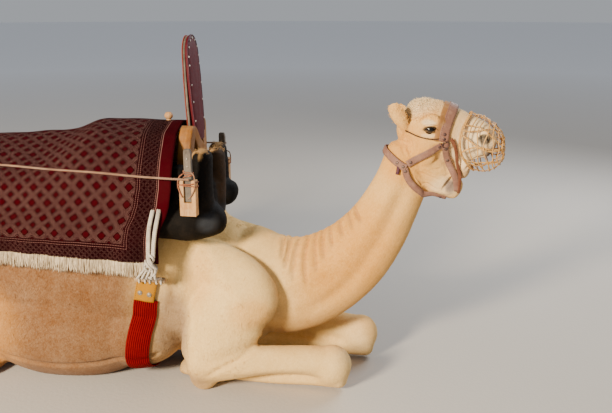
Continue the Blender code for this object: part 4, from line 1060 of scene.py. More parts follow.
def ring_shape(spot, ahead, side, up, radius, wire, squash=1.0, around=28, sides=8):
    """A ring of round wire lying in the plane of ahead and side."""
    u = np.arange(around + 1) * 2 * math.pi / around
    v = np.arange(sides) * 2 * math.pi / sides
    out = radius + wire * np.cos(v)
    return (spot + (np.cos(u)[:, None] * out * squash)[..., None] * ahead
            + (np.sin(u)[:, None] * out)[..., None] * side
            + (wire * np.sin(v) + 0 * u[:, None])[..., None] * up)


def twisted(path, side, radius, plies, turns_per_metre, sides):
    """A laid rope: round plies side by side, the outline radius * (0.8 + 0.2 * |cos(plies * angle / 2)|)
    carried along with a steady twist."""
    path = np.array(path, float)
    angle = np.arange(sides) * 2 * math.pi / sides
    lobed = radius * (0.8 + 0.2 * np.abs(np.cos(plies * angle / 2)))
    outline = np.stack([np.cos(angle) * lobed, np.sin(angle) * lobed], axis=1)
    run = norm(np.diff(path, axis=0), axis=1).sum()
    return carried(path, side, outline, 1.0, 1.0, 2 * math.pi * turns_per_metre * run)


def resampled(path, pitch):
    """The same line with points an even pitch apart."""
    path = np.array(path, float)
    run = way_along(path)
    return read_at(np.linspace(0, run[-1], max(3, int(run[-1] / pitch) + 1)), run, path)


def braid(path, side, radius, strand, pitch):
    """Three strands round one line: each follows the line with offsets radius * sin(phase) across
    and 0.55 * radius * sin(2 * phase) square to it, a third of a turn apart."""
    path = resampled(path, pitch / 9)
    _, across, square = frames_along(path, side)
    run = way_along(path)
    grids = []
    for k in range(3):
        phase = 2 * math.pi * (run / pitch + k / 3)
        sway, lift = radius * np.sin(phase), radius * 0.55 * np.sin(2 * phase)
        line = path + across * sway[:, None] + square * lift[:, None]
        grids.append(carried(line, side, round_outline(7), strand, strand))
    return grids


# ---- what the head wears ----
CROWN_STRAP_END = [(.813, .088, .982), (.813, .089, .962), (.812, .088, .944), (.81, .087, .928)]


def over_both(points):
    """A path up the left side to the middle, carried on down the right one."""
    return np.array(points + [(x, -y, z) for x, y, z in points[:-1]][::-1])


def halter(face, paints):
    """Straps round the head laid over one another, with a lining, red strips, cords, rivets, rings and
    stitches."""
    leather, metal = paints["halter"], paints["dark_rivet"]
    over = over_both([(0.987, .088, 1.066), (0.991, .080, 1.115), (1.003, .056, 1.160),
                      (1.014, 0, 1.190)]) + SHIFT
    behind = over_both([(0.845, .085, 0.955), (0.820, .088, 0.968), (0.785, .078, 0.990), (0.764, .040, 1.008),
                        (0.760, 0, 1.014)]) + SHIFT
    nose = Band(face, over, 0.036, 0.0042, lift=0.0048, steps=10, across=9)
    lining = Band(face, over - [0.011, 0, -0.002], 0.052, 0.0028, lift=0.0016, steps=10, across=11)
    crown = Band(face, behind, 0.028, 0.0042, lift=0.006, steps=8)
    piece("halter_noseband", [nose.grid()], leather, "halter", "noseband")
    piece("halter_nose_lining", [lining.grid()], paints["lining"], "halter")
    piece("halter_crown", [crown.grid()], leather, "halter", "crown_strap")
    bands = {"noseband": nose, "crown": crown}
    rivets = [dome(*nose.at(share, 0), 0.0068, 0.0028) for share in (0.035, 0.1, 0.9, 0.965)]
    rivets += [dome(*crown.at(share, 0), 0.0066, 0.0028) for share in (0.06, 0.17, 0.83, 0.94)]
    rings = []
    for side, sign in SIDES:
        for name, (width, path) in HALTER_PATHS.items():
            band = Band(face, on_side(path, sign), width, 0.0042, lift=0.0045)
            piece("halter_" + name + "_" + side, [band.grid()], leather, "halter", name + "_" + side)
            bands[name + side] = band
            rivets += [dome(*band.at(share, 0), 0.0068, 0.0028) for share in (0.08, 0.9)]
        width, path = FRONT_STRAP
        front = Band(face, on_side(path, sign), width, 0.0042, lift=0.005, bridge=60, even=40)
        piece("halter_front_" + side, [front.grid()], leather, "halter", "front_strap_" + side)
        bands["front" + side] = front
        rivets += [dome(*front.at(0.1, 0), 0.007, 0.003), dome(*front.at(0.36, 0), 0.0068, 0.0028)]
        rings.append(ring_shape(*front.at(0.015, 0, 0.004), 0.0135, 0.0022))
        width, path = RED_STRIP
        strip = Band(face, on_side(path, sign), width, 0.0032, lift=0.0085, bridge=60, even=40)
        piece("halter_strip_" + side, [strip.grid()], paints["strip"], "halter")
        found = [face.find_nearest(Vector(p)) for p in resampled(smooth_rows(on_side(BROW_CORD, sign), 8),
                                                                 0.004)]
        line = np.array([np.array(f[0]) + np.array(f[1]) * 0.0052 for f in found])
        cord = twisted(line, (0, sign, 0), 0.0036, 2, 90, sides=12)
        piece("halter_brow_cord_" + side, [cord], paints["brow_cord"], "halter", "brow_cord_" + side)
    for side, sign in SIDES:
        end = Band(face, on_side(CROWN_STRAP_END, sign), 0.011, 0.0036, lift=0.0065)
        piece("halter_strap_end_" + side, [end.grid()], paints["welt"], "halter")
    points, faces, base = [], [], 0
    for key in sorted(bands):
        p, f = stitches(bands[key])
        faces += (np.array(f) + base).tolist()
        points.append(p)
        base += len(p)
    dressed(outward(mesh_object("halter_stitching", np.vstack(points), faces, paints["thread"])), "halter")
    piece("halter_rivets", rivets, metal, "halter")
    piece("halter_rings", rings, metal, "halter")


CANES, CANE_WIND = 18, .42
BASKET_HOOPS = [(0.0, .0036, 3), (.028, .003, 4), (.2, .0022, 3), (.37, .0024, 5),
                (.54, .0022, 4), (.69, .0022, 3), (.82, .0022, 4), (.93, .0022, 3)]   # place, radius, waves


def basket_point(t, turn, out=0.0):
    """The muzzle basket's surface: from its slanted rim at t = 0 to the blunt front at t = 1, at a turn round
    it."""
    swell = (1 - np.clip(t, 0, 1) ** 2.6) ** 0.5
    up, aside = np.cos(turn), np.sin(turn)
    rim = 1.098 - 0.01 * up - 0.052 * aside ** 2
    x = rim + (1.2285 + out - rim) * t
    return np.stack([x, (0.0825 + out) * swell * aside, 1.058 - 0.026 * t + (0.1135 + out) * swell * up],
                    axis=-1) + SHIFT


def basket(paints):
    """A net of split cane: canes run from the rim to the front, each turning a little one way or the other
    and rising and falling over its neighbours, with uneven hoops round them and a rim of two thick canes."""
    cane = paints["cane"]
    grids = []
    strip = np.array([(-1, -0.5), (-0.6, -0.9), (0.6, -0.9), (1, -0.5), (1, 0.5), (0.6, 0.9), (-0.6, 0.9),
                      (-1, 0.5)])
    inside = np.array([1.14 + SHIFT[0], 0, 1.045])
    t = np.linspace(0.0, 0.985, 46)
    for k in range(CANES):
        way = 1 if k % 2 else -1
        wobble = 0.1 * np.sin(6 * t + 1.9 * k) + 0.09 * math.sin(2.3 * k)
        turn = 2 * math.pi * k / CANES + way * CANE_WIND * t + wobble
        line = basket_point(t, turn, 0.0016 * np.sin(30 * t + 3 * k))
        ahead = unit(np.gradient(line, axis=0))
        across = unit(np.cross(unit(line - inside), ahead))
        wide = 0.0029 * (1 + 0.15 * math.sin(7 * k))
        grids.append(line[:, None] + across[:, None] * (strip[:, 0] * wide)[None, :, None]
                     + np.cross(ahead, across)[:, None] * (strip[:, 1] * 0.0014)[None, :, None])
    around = np.linspace(0, 2 * math.pi, 121)
    for t, radius, waves in BASKET_HOOPS:
        sway = 0.02 * np.sin(waves * around + 9 * t) * (0.3 + min(1, 4 * t))
        line = basket_point(t + sway, around, 0.0012 + 0.0016 * np.sin(CANES / 2 * around + 20 * t))
        grids.append(carried(line, (1, 0.2, 0.1), round_outline(8), radius, radius))
    wrap = np.linspace(0, 2 * math.pi, 60 * 10 + 1)
    line = basket_point(0.014 + 0.024 * np.cos(60 * wrap), wrap, 0.0012 + 0.0048 * np.sin(60 * wrap))
    grids.append(carried(line, (1, 0.2, 0.1), round_outline(5), 0.0009, 0.0009))
    tip = basket_point(np.array([0.985]), np.array([0.0]))[0]
    knot = resampled([(tip[0] - 0.01 + 0.004 * math.cos(3 * a), 0.013 * math.sin(a),
                       1.032 + 0.012 * math.cos(2 * a))
                      for a in np.linspace(0, 2 * math.pi, 60)], 0.003)
    grids.append(carried(knot, (1, 0, 0), round_outline(7), 0.0022, 0.0022))
    obj = grids_object("cane_muzzle_basket", grids, cane)
    return dressed(outward(obj), "cane", "muzzle_basket")


# ---- the saddle ----
PAD_BACK, PAD_LOW = .088, .06     # the left front pad sits this far behind the right one, and below it
PAD_RUNS = [
    [(.075, .225, .745, .074, .072), (.02, .262, .742, .074, .079), (-.12, .29, .755, .069, .084),
     (-.35, .285, .815, .064, .069), (-.65, .275, .835, .064, .064), (-.95, .255, .8, .064, .064),
     (-1.2, .185, .755, .064, .059)],
    [(.048, .258, .76, .058, .046), (.048, .252, .88, .054, .044), (.05, .242, 1.003, .052, .042)],
    [(.058, .125, .76, .064, .042), (.062, .112, .88, .06, .04), (.066, .104, .988, .052, .038)],
    [(-.04, .268, .76, .056, .051), (-.04, .262, .87, .052, .047), (-.038, .254, .938, .046, .041)],
]
YOKE_FRONT = (-.046, [(.185, .925), (.165, 1.005), (.122, 1.078), (.06, 1.02), (0.0, .986)], (.028, .0265), .06)
YOKE_REAR = (-1.19, [(.235, .85), (.188, .92), (.14, .99), (.06, .965), (0.0, .95)], (.0255, .0245), 0.0)
POST_X, POST_Y, POST_Z = .033, .364, .952
PAD_CELL = .0085
STRAWS = 110                         # that stick out of the top of each roll
PAD_GAP = .0015                      # between a pad and the skin under it


def swollen(obj, cap, pressure=3.0, frames=14):
    """Cloth blown up a little under pressure, with no point moved more than the cap."""
    before = points_of(obj)
    cloth = obj.modifiers.new("cloth", "CLOTH")
    settings = cloth.settings
    settings.use_pressure, settings.uniform_pressure_force = True, pressure
    settings.effector_weights.gravity = 0
    settings.quality = 4
    settings.tension_stiffness = settings.compression_stiffness = 25
    settings.bending_stiffness = 4
    cloth.point_cache.frame_start, cloth.point_cache.frame_end = 1, frames
    for step in range(1, frames + 1):
        bpy.context.scene.frame_set(step)
    after = points_of(obj.evaluated_get(bpy.context.evaluated_depsgraph_get()))
    obj.modifiers.clear()
    bpy.context.scene.frame_set(1)
    move = after - before
    far = norm(move, axis=1, keepdims=True)
    set_points(obj, before + move * np.minimum(1, cap / np.maximum(far, 1e-9)))


def squared(points, sign):
    """Points of a front pad as they would lie on the right side, where nothing is set back or lowered."""
    p = points - SHIFT
    if sign > 0:
        p[:, 0] += PAD_BACK * np.clip((p[:, 0] + 0.45 + PAD_BACK) / 0.25, 0, 1)
        p[:, 2] += PAD_LOW * np.clip((p[:, 2] - 0.78) / (0.2 - PAD_LOW), 0, 1)
    return p


def pad_colours(points, sign):
    """Black hide, browner on the inner roll, tan where the tops are rubbed through, with a painted blue-grey
    sheen low in front.
    """
    p = squared(points, sign)
    side = np.abs(p[:, 1])
    colour = np.tile(np.array((0.0036, 0.0025, 0.0017)), (len(p), 1))
    inner = np.clip((0.185 - side) / 0.02, 0, 1) * np.clip((p[:, 2] - 0.78) / 0.05, 0, 1)
    colour = toward(colour, (0.042, 0.023, 0.011), inner * 0.75)
    wave = 0.012 * np.sin(p[:, 0] * 140) + 0.01 * np.sin(side * 210 + p[:, 0] * 60)
    front_roll = np.clip((p[:, 0] + 0.008) / 0.01, 0, 1)
    colour = toward(colour, (0.36, 0.2, 0.075), front_roll * np.clip((p[:, 2] - 1.012 + wave) / 0.012, 0, 1)
                    * 0.9)
    # painted sheen: a blue-grey reflection on the black hide low in front
    low = norm((p - [0.085, 0, 0.745]) / [0.05, 9, 0.055], axis=1)
    return toward(colour, (0.042, 0.046, 0.054), np.clip((0.9 - low) / 0.5, 0, 1) * 0.6)


def pads(skin, paints):
    """Stuffed hide rolls, swollen by a cloth run, then creased and seamed in code."""
    made = []
    body = tree_of(skin)
    for side, sign in SIDES:
        grids = [limb(np.array(rows) * [1, sign, 1, 1, 1], sides=28, steps=6, cap=0.8) for rows in PAD_RUNS]
        grids.append(ellipsoid((0.045, sign * 0.18, 0.82), (0.038, 0.055, 0.115)))
        pad = shaded_smooth(evened(outward(grids_object("saddle_pad_" + side, grids)), PAD_CELL, 5))
        points = points_of(pad)
        if sign > 0:
            points[:, 2] -= PAD_LOW * np.clip((points[:, 2] - 0.78) / 0.2, 0, 1)
            points[:, 0] -= PAD_BACK * np.clip((points[:, 0] + 0.45) / 0.25, 0, 1)
        set_points(pad, points + SHIFT)
        swollen(pad, 0.005)
        points, normals = points_of(pad), normals_of(pad)
        p = squared(points, sign)
        tall = np.clip((p[:, 2] - 0.8) / 0.06, 0, 1)
        crease = np.abs(np.sin(p[:, 2] * 95 + 2.2 * np.sin(p[:, 0] * 40) + 1.5 * np.sin(np.abs(p[:, 1]) * 50)))
        dent = -0.003 * (1 - crease) ** 3 * (0.35 + tall * 0.6)
        ribs = 0.0022 * np.sin(p[:, 0] * 46 + 1.5 * np.sin(p[:, 2] * 12)) * (1 - tall)
        lumps = 0.0022 * np.sin(p[:, 0] * 21 + 4) * np.sin(p[:, 2] * 27 + p[:, 1] * 19)
        points = points + normals * (dent + ribs + lumps)[:, None]
        near = [body.find_nearest(Vector(q)) for q in points]
        spots, out = np.array([hit[0] for hit in near]), np.array([hit[1] for hit in near])
        inside = ((points - spots) * out).sum(1) < PAD_GAP
        points[inside] = (spots + out * PAD_GAP)[inside]
        set_points(pad, points)
        painted(pad, pad_colours(points, sign))
        pad.data.materials.append(paints["pad"])
        dressed(pad, "pad", "pad_" + side)
        made.append(pad)
        back, lower = (PAD_BACK, PAD_LOW) if sign > 0 else (0, 0)
        roots = []
        for x, y, z in ((0.05, 0.242, 1.036), (0.066, 0.104, 1.018)):
            angle, out = rng.uniform(0, 2 * math.pi, STRAWS), np.sqrt(rng.uniform(0, 1, STRAWS)) * 0.038
            roots.append(np.stack([x - back + out * np.cos(angle) * 0.8, sign * y + out * np.sin(angle),
                                   z - lower - 0.012 - out ** 2 * 6], axis=1))
        roots = np.vstack(roots) + SHIFT
        lean = unit(rng.normal(0, 0.7, roots.shape) + [0, 0, 0.55])
        straw = strands(roots, lean, unit(rng.normal(0, 1, roots.shape)) * 0.3,
                        rng.uniform(0.012, 0.026, len(roots)),
                        np.full(len(roots), 0.0016))
        dressed(outward(mesh_object("pad_straw_" + side, *straw, paints["straw"])), "pad")
    return made


def yoke(name, row, paint, node_name):
    """A broad bowed beam over the back: a rounded rectangle carried along its arch, with its ends drawn in."""
    x, half, (wide, deep), back = row
    reach = half[0][0]
    arch = [(x, -y, z) for y, z in half] + [(x - back * y / reach, y, z) for y, z in half[:-1][::-1]]
    path = smooth_rows(np.array(arch), 8) + SHIFT
    grid = carried(path, (1, 0, 0), round_outline(28, 7.0), wide, deep)
    first, last = (path[i] + (path[i] - path[j]) * 0.3 + (grid[i] - path[i]) * 0.86
                   for i, j in ((0, 1), (-1, -2)))
    return piece(name, [np.concatenate([first[None], grid, last[None]])], paint, "yellow_wood", node_name)


def outline_slab(outline, low, high, bevel, place):
    """A flat outline of (a, b) points made into a slab from low to high, its edges drawn in by the bevel.
    place turns rows of (a, b, height) into points."""
    outline = np.array(outline, float)
    ahead = unit(np.roll(outline, -1, axis=0) - np.roll(outline, 1, axis=0))
    inward = np.stack([-ahead[:, 1], ahead[:, 0]], axis=1)
    rings = [(low, bevel * 1.6), (low, bevel), (low + bevel, 0), (high - bevel, 0), (high, bevel),
             (high, bevel * 1.6)]
    return np.array([place(np.column_stack([outline + inward * d, np.full(len(outline), h)]))
                     for h, d in rings])


def rounded(corners, radius, steps=4):
    """A polygon, counter-clockwise, with every corner cut to a short arc."""
    corners = np.array(corners, float)
    out = []
    for before, corner, after in zip(np.roll(corners, 1, axis=0), corners, np.roll(corners, -1, axis=0)):
        a, b = corner + unit(before - corner) * radius, corner + unit(after - corner) * radius
        for t in np.linspace(0, 1, steps):
            out.append(a * (1 - t) ** 2 + corner * 2 * t * (1 - t) + b * t ** 2)
    return np.array(out)


POST_OUTLINE = [(-.0146, -.103), (.0146, -.103), (.0146, .086), (.0095, .1035), (-.012, .1035), (-.0146, .092)]
FORK_OUTLINE = [(-.0328, -.1578), (.0328, -.1578), (.0328, -.0162), (.0156, -.0162),
                (.0156, -.1046), (-.0156, -.1046), (-.0156, -.0162), (-.0328, -.0162)]
ROUND_POST, ROUND_BLOCK = (.0178, .0122, 0), (.0365, .0192, .0045)   # half width, half depth, how far out
LASHINGS = [(.006, .0028, ROUND_POST), (-.001, .0026, ROUND_POST), (.014, .0024, ROUND_POST),
            (-.03, .0026, ROUND_BLOCK), (-.036, .0026, ROUND_BLOCK)]   # height, radius
LOOSE_TIE = [(-.016, -.006, .01), (-.03, 0, -.004), (-.036, 0, -.034), (-.029, 0, -.062), (-.02, 0, -.082)]
ROPE_TAIL = [(.016, -.006, .016), (.03, 0, .002), (.032, 0, -.04), (.018, 0, -.072), (.004, 0, -.088)]


def posts(paints):
    """On each side a weathered post in a forked pine block, with lashings round them."""
    turn = np.linspace(0, 2 * math.pi, 46)
    ahead, aside = (np.sign(way) * np.abs(way) ** 0.45 for way in (np.cos(turn), np.sin(turn)))
    for side, sign in SIDES:
        back, lower = (PAD_BACK, PAD_LOW) if sign > 0 else (0.0, 0.0)
        middle = np.array([POST_X - back, POST_Y, POST_Z - lower])

        def place(rows):
            return on_side(middle + rows[:, [0, 2, 1]], sign)

        def tie(offsets, radius):
            path = smooth_rows(on_side(middle + [0, 0.0218, 0] + offsets, sign), 6)
            return twisted(resampled(path, 0.003), (1, 0, 0), radius, 2, 90, sides=10)

        post = outline_slab(rounded(POST_OUTLINE, 0.003), -0.0088, 0.0088, 0.0015, place)
        piece("saddle_post_" + side, [post], paints["grey_wood"], "grey_wood", "post_" + side, smooth=False)
        block = outline_slab(rounded(FORK_OUTLINE, 0.0034), -0.0108, 0.0188, 0.0009, place)
        piece("saddle_block_" + side, [block], paints["pine"], "wood", "block_" + side, smooth=False)
        grids = []
        for k, (high, radius, (wide, deep, out)) in enumerate(LASHINGS):
            sway = (0.006 if k % 2 else -0.005) * np.cos(turn)
            loop = on_side(middle + np.stack([wide * ahead, out + deep * aside, high + sway], axis=1), sign)
            grids.append(twisted(resampled(loop, 0.0025), (0, 0, 1), radius, 2, 110, sides=10))
        piece("post_lashing_" + side, grids + [tie(LOOSE_TIE, 0.0032)], paints["orange_cord"], "cord")
        piece("post_tie_" + side, [tie(ROPE_TAIL, 0.003)], paints["rope"], "cord")
        bolts = [dome(place(np.array([[0.0, h, 0.0088]]))[0], np.array([1.0, 0, 0]), np.array([0, 0, 1.0]),
                      np.array([0, float(sign), 0]), 0.0038, 0.002) for h in (0.066, 0.036)]
        piece("post_bolts_" + side, bolts, paints["rivet"], "grey_wood")


PADDLES = [("front_paddle", (-.05, 0, 1.018), .446, .048),     # name, foot, height, lean
           ("rear_paddle", (-1.19, 0, .98), .34, .28)]
PADDLE_HALF = .071
PADDLE_WIDTHS = [(0, .62), (.12, .8), (.35, .95), (.62, 1), (.8, .93)]   # shares of height and half width
CUSHION = [(.9, -.0012), (.985, -.0008), (1, .003), (.985, .008), (.93, .0112), (.8, .0135),
           (.6, .0148), (.35, .0154), (.12, .0156)]   # share of the outline, how far forward
STUDS = 15


def paddle(name, base, height, lean, paints):
    """A tall board with a round top, of two leaves that part towards the foot: a grey one behind with an
    orange edge, and a crimson cushioned one in front. The gap between them is gap * (1 - t)^1.6 at share t of
    the height."""
    t = np.concatenate([np.linspace(0, 0.8, 18), 0.8 + 0.2 * np.sin(np.linspace(0.05, math.pi / 2, 14))])
    wide = PADDLE_HALF * np.interp(t, *np.array(PADDLE_WIDTHS).T)
    wide = np.where(t > 0.8, PADDLE_HALF * 0.93 * np.sqrt(np.maximum(0, 1 - ((t - 0.8) / 0.2) ** 2)), wide)
    right = np.column_stack([wide, t * height])
    outline = np.vstack([right, (right * [-1, 1])[::-1][1 if wide[-1] < 1e-4 else 0:]])
    gap = 0.0065 if height > 0.4 else 0.0025

    def leaf(way):
        def place(rows):
            part = way * gap * np.clip(1 - rows[:, 1] / height, 0, 1) ** 1.6
            return np.stack([base[0] + rows[:, 2] + part - lean * rows[:, 1], base[1] + rows[:, 0],
                             base[2] + rows[:, 1]], axis=1) + SHIFT


        return place
    front, rear = leaf(1.0), leaf(-1.0)

    def scaled(share, middle):
        return (outline - [0, height * middle]) * share + [0, height * middle]

    def drawn(rows, out):
        return np.column_stack([rows, np.broadcast_to(out, len(rows))])

    core = outline_slab(scaled(0.975, 0.5), -0.0112, -0.0018, 0.0015, rear)
    backing = outline_slab(scaled(0.992, 0.5), -0.016, -0.0116, 0.0012, rear)
    face = []
    for share, rise in CUSHION:
        flat = scaled(share, 0.47)
        face.append(front(drawn(flat, rise + 0.0008 * np.sin(flat[:, 1] * 110) * (share < 0.9))))
    edge = front(drawn(outline, 0.0094))[2:-2]
    welt = carried(resampled(edge, 0.006), (1, 0, 0), round_outline(8), 0.0026, 0.0026)
    middle = front(np.array([[0, height * 0.47, 0.0108]]))[0]
    studs = []
    for k in range(STUDS):
        spot = edge[int(round((k + 0.5) / STUDS * (len(edge) - 1)))]
        studs.append(dome(spot + unit(middle - spot) * 0.013 + [0.0036, 0, 0], np.array([0, 1.0, 0]),
                          np.array([0, 0, 1.0]), np.array([1.0, 0, 0]), 0.0042, 0.0024))
    top = rear(drawn(outline[len(t) - 14:len(t) - 2] * [0.99, 0.994], -0.0015))
    tape = carried(resampled(top, 0.004), (1, 0, 0), round_outline(12, 3.0), 0.0105, 0.0018)
    red = "red_leather"
    piece(name + "_core", [core], paints["grey_wood"], red)
    piece(name + "_backing", [backing], paints["orange_leather"], red)
    piece(name + "_face", [np.array(face)], paints[red], red, name)
    piece(name + "_welt", [welt], paints["welt"], red)
    piece(name + "_studs", studs, paints["pale_stud"], red)
    piece(name + "_tape", [tape], paints["tape"], red)


# ---- the rug ----
RUG_FRONT = [(0, -.107), (.2, -.088), (.34, -.066), (.46, -.051), (.6, -.043), (.69, -.049), (.75, -.064),
             (.81, -.088), (.88, -.099), (1.0, -.101)]   # the front edge: share down, and place along
RUG_REAR = -1.13
RUG_THICK = .0055
RUG_AXIS_Z = .6                    # the rug's sections are taken round this line
FRINGE_LENGTH = .076
RUG_LIES_FROM = -.42                # ahead of this the rug lies over the pads
KNOB_X = -.182
ROPE_BEAM = (-1.19, .188, .92)       # the middle of the turns round the rear yoke
KNOB_RADII = [(.0008, .011), (.005, .0105), (.012, .0165), (.022, .018), (.03, .0135)]   # height, radius
PLAIN_HEM = 18                       # yarns left out by the front corner
ROPE_HEIGHTS = [(-1.13, .945), (-1.0, .962), (-.77, .972), (-.51, .974), (-.27, .967), (-.13, .957),
                (0.0, .944)]
ROPE_END = (-1.168, .218, .92)


def rug_sections():
    """The draped line of the rug in even sections along the camel: rays run inwards to the solid rug, and
    each section is stepped evenly from its right edge over the back to its left edge. Where the front edge
    cuts a section short, the nearest whole one carries it on down."""
    tree = tree_of(NODES["rug"])
    low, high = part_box("rug")
    xs = np.linspace(low.x + 0.012, high.x - 0.006, 64)
    ways = [Vector((0, -math.cos(a), math.sin(a))) for a in np.radians(np.linspace(-8, 188, 150))]
    halves = {}
    for i, x in enumerate(xs):
        hits = [tree.ray_cast(Vector((x, 0, RUG_AXIS_Z)) + way * 1.2, -way, 1.2)[0] for way in ways]
        line = np.array([(hit.y, hit.z) for hit in hits if hit is not None])
        if len(line) > 20 and line[0, 0] < -0.2 and line[-1, 0] > 0.2:
            ridge = int(np.argmin(np.abs(line[:, 0]) - (line[:, 1] > 0.9)))
            halves[i] = [line[:ridge + 1][::-1], line[ridge:]]
    known = list(halves)
    for column in (0, 1):
        hem = np.median([halves[i][column][-1, 1] for i in known])
        whole = [i for i in known if halves[i][column][-1, 1] < hem + 0.012]
        for i in set(known) - set(whole):
            part, pattern = halves[i][column], halves[min(whole, key=lambda k: abs(k - i))][column]
            end = part[-1]
            rest = pattern[pattern[:, 1] < end[1] - 0.008].copy()
            gap = end[0] - float(np.interp(-end[1], -pattern[:, 1], pattern[:, 0]))
            rest[:, 0] += gap * np.clip(1 - (end[1] - rest[:, 1]) / 0.15, 0, 1)
            halves[i][column] = np.vstack([part, rest])
    half = 60
    table = np.zeros((len(xs), 2 * half + 1, 2))
    for i in range(len(xs)):
        right, left = halves[min(known, key=lambda k: abs(k - i))]
        for part, target in ((right, slice(half, None, -1)), (left, slice(half, None))):
            run = way_along(part)
            table[i, target] = read_at(np.linspace(0, run[-1], half + 1), run, part)
    for _ in range(5):
        table[1:-1] = (table[:-2] + 2 * table[1:-1] + table[2:]) / 4
        table[:, 1:-1] = (table[:, :-2] + 2 * table[:, 1:-1] + table[:, 2:]) / 4
    return xs, table


def rug_grid(rows=120, columns=141):
    """The cloth as a grid: rows run from the front edge back, columns from the right lower edge over to the
    left one. Soft upright folds grow towards the lower edges: height * share^2 * sin(place along the rug)."""
    xs, table = rug_sections()
    share = np.linspace(-1, 1, columns)
    front = np.interp(np.abs(share), *np.array(RUG_FRONT).T) + SHIFT[0] - PAD_BACK * np.clip(2 * share, 0, 1)
    rear = RUG_REAR + SHIFT[0]
    x = front + (rear - front) * np.linspace(0, 1, rows)[:, None]
    at = (share + 1) / 2 * (table.shape[1] - 1)
    low = np.clip(at.astype(int), 0, table.shape[1] - 2)
    across = table[:, low] + (table[:, low + 1] - table[:, low]) * (at - low)[:, None]
    grid = np.zeros((rows, columns, 3))
    grid[..., 0] = x
    for j in range(columns):
        grid[:, j, 1:] = read_at(x[:, j], xs, across[:, j])
    normal = unit(np.cross(np.gradient(grid, axis=1), np.gradient(grid, axis=0)))
    if normal[rows // 2, columns // 2, 2] < 0:
        normal = -normal
    low_share = np.clip((np.abs(share) - 0.25) / 0.75, 0, 1) ** 1.6
    wave = np.sin(x * 21 + 2.2 * np.sin(x * 6) + 2 * share) + 0.6 * np.sin(x * 43 + 1.7 + 5 * share ** 2)
    ripple = 0.0045 * low_share * wave + 0.0012 * np.sin(x * 30 + share * 14) + 0.001 * np.sin(x * 11
                                                                                               - share * 31)
    return grid + normal * (0.0015 + ripple)[..., None], normal


def lifted_off(grid, normal, under):
    """Cloth that lies on what is under it: a spot with something less than 4 mm below it moves out to clear
    it."""
    near = grid[..., 0] > RUG_LIES_FROM + SHIFT[0]
    spots, out = grid[near], normal[near]
    hits = [under.ray_cast(Vector(p + n * 0.1), Vector(-n), 0.104) for p, n in zip(spots, out)]
    rise = np.zeros(grid.shape[:2])
    rise[near] = [0.104 - hit[3] if hit[0] is not None else 0.0 for hit in hits]
    wide = rise.copy()
    for _ in range(10):
        around = np.pad(wide, 1, mode="edge")
        wide = np.maximum(rise, (around[:-2, 1:-1] + around[2:, 1:-1] + around[1:-1, :-2] + around[1:-1, 2:])
                          / 4)
    return grid + normal * wide[..., None]


def rug(pad_pieces, paints):
    """The draped cloth, with its cut in metres as its UV map: along from the front edge, and over from the
    ridge."""
    grid, normal = rug_grid()
    grid = lifted_off(grid, normal, tree_of(*pad_pieces))
    rows, columns = grid.shape[:2]
    cloth = mesh_object("saddle_rug", grid.reshape(-1, 3), grid_faces(rows, columns, False, False),
                        paints["rug"])
    along = np.cumsum(np.pad(norm(np.diff(grid, axis=0), axis=2), ((1, 0), (0, 0))), axis=0)
    over = np.cumsum(np.pad(norm(np.diff(grid, axis=1), axis=2), ((0, 0), (1, 0))), axis=1)
    over = over - over[:, columns // 2:columns // 2 + 1]
    ends = np.where(over < 0, -over[:, :1], over[:, -1:])
    laid_flat(cloth, "cut", np.stack([along, over / ends * ends.mean()], axis=-1))
    centre = points_of(cloth).mean(0) * [1, 0, 1] - [0, 0, 0.3]
    if ((points_of(cloth) - centre) * normals_of(cloth)).sum() < 0:
        cloth.data.flip_normals()
    wall = cloth.modifiers.new("wall", "SOLIDIFY")
    wall.thickness, wall.offset = RUG_THICK, -1.0
    return dressed(cloth, "rug", "rug"), grid, normal


def fringes(grid, face, paints):
    """Cream yarns knotted along both lower edges: they hang, stand a little off the flank and splay
    unevenly."""
    made = []
    for side, sign, column in (("right", -1, 0), ("left", 1, -1)):
        edge = resampled(grid[:, column], 0.0034)[PLAIN_HEM:]
        roots = np.repeat(edge, 2, axis=0) + rng.normal(0, 0.0008, (2 * len(edge), 3))
        roots[:, 2] += 0.003
        roots[:, 1] += sign * np.tile([-0.0042, -0.0018], len(edge))
        lean = unit(np.array([0, sign * 0.04, -1.0]) + rng.normal(0, 0.035, roots.shape))
        bend = rng.normal(0, 0.1, roots.shape) * [1, 0.25, 0.1]
        length = FRINGE_LENGTH * (0.9 + 0.1 * np.sin(roots[:, 0] * 60) * rng.uniform(0, 1, len(roots)))
        tips = roots + (lean + bend) * length[:, None]
        for i in range(len(roots)):
            hit = face.ray_cast(Vector((tips[i, 0], sign * 1.0, tips[i, 2])), Vector((0, -sign, 0)))[0]
            if hit is not None and abs(tips[i, 1]) < abs(hit.y) + 0.003:
                bend[i, 1] += sign * (abs(hit.y) + 0.003 - abs(tips[i, 1])) / length[i]
        yarns = strands(roots, lean, bend, length, np.full(len(roots), 0.0036), joints=5, sides=4, taper=0.25)
        tassels = outward(mesh_object("rug_fringe_" + side, *yarns, paints["fringe"]))
        made.append(dressed(tassels, "fringe", "fringe_" + side))
    return made


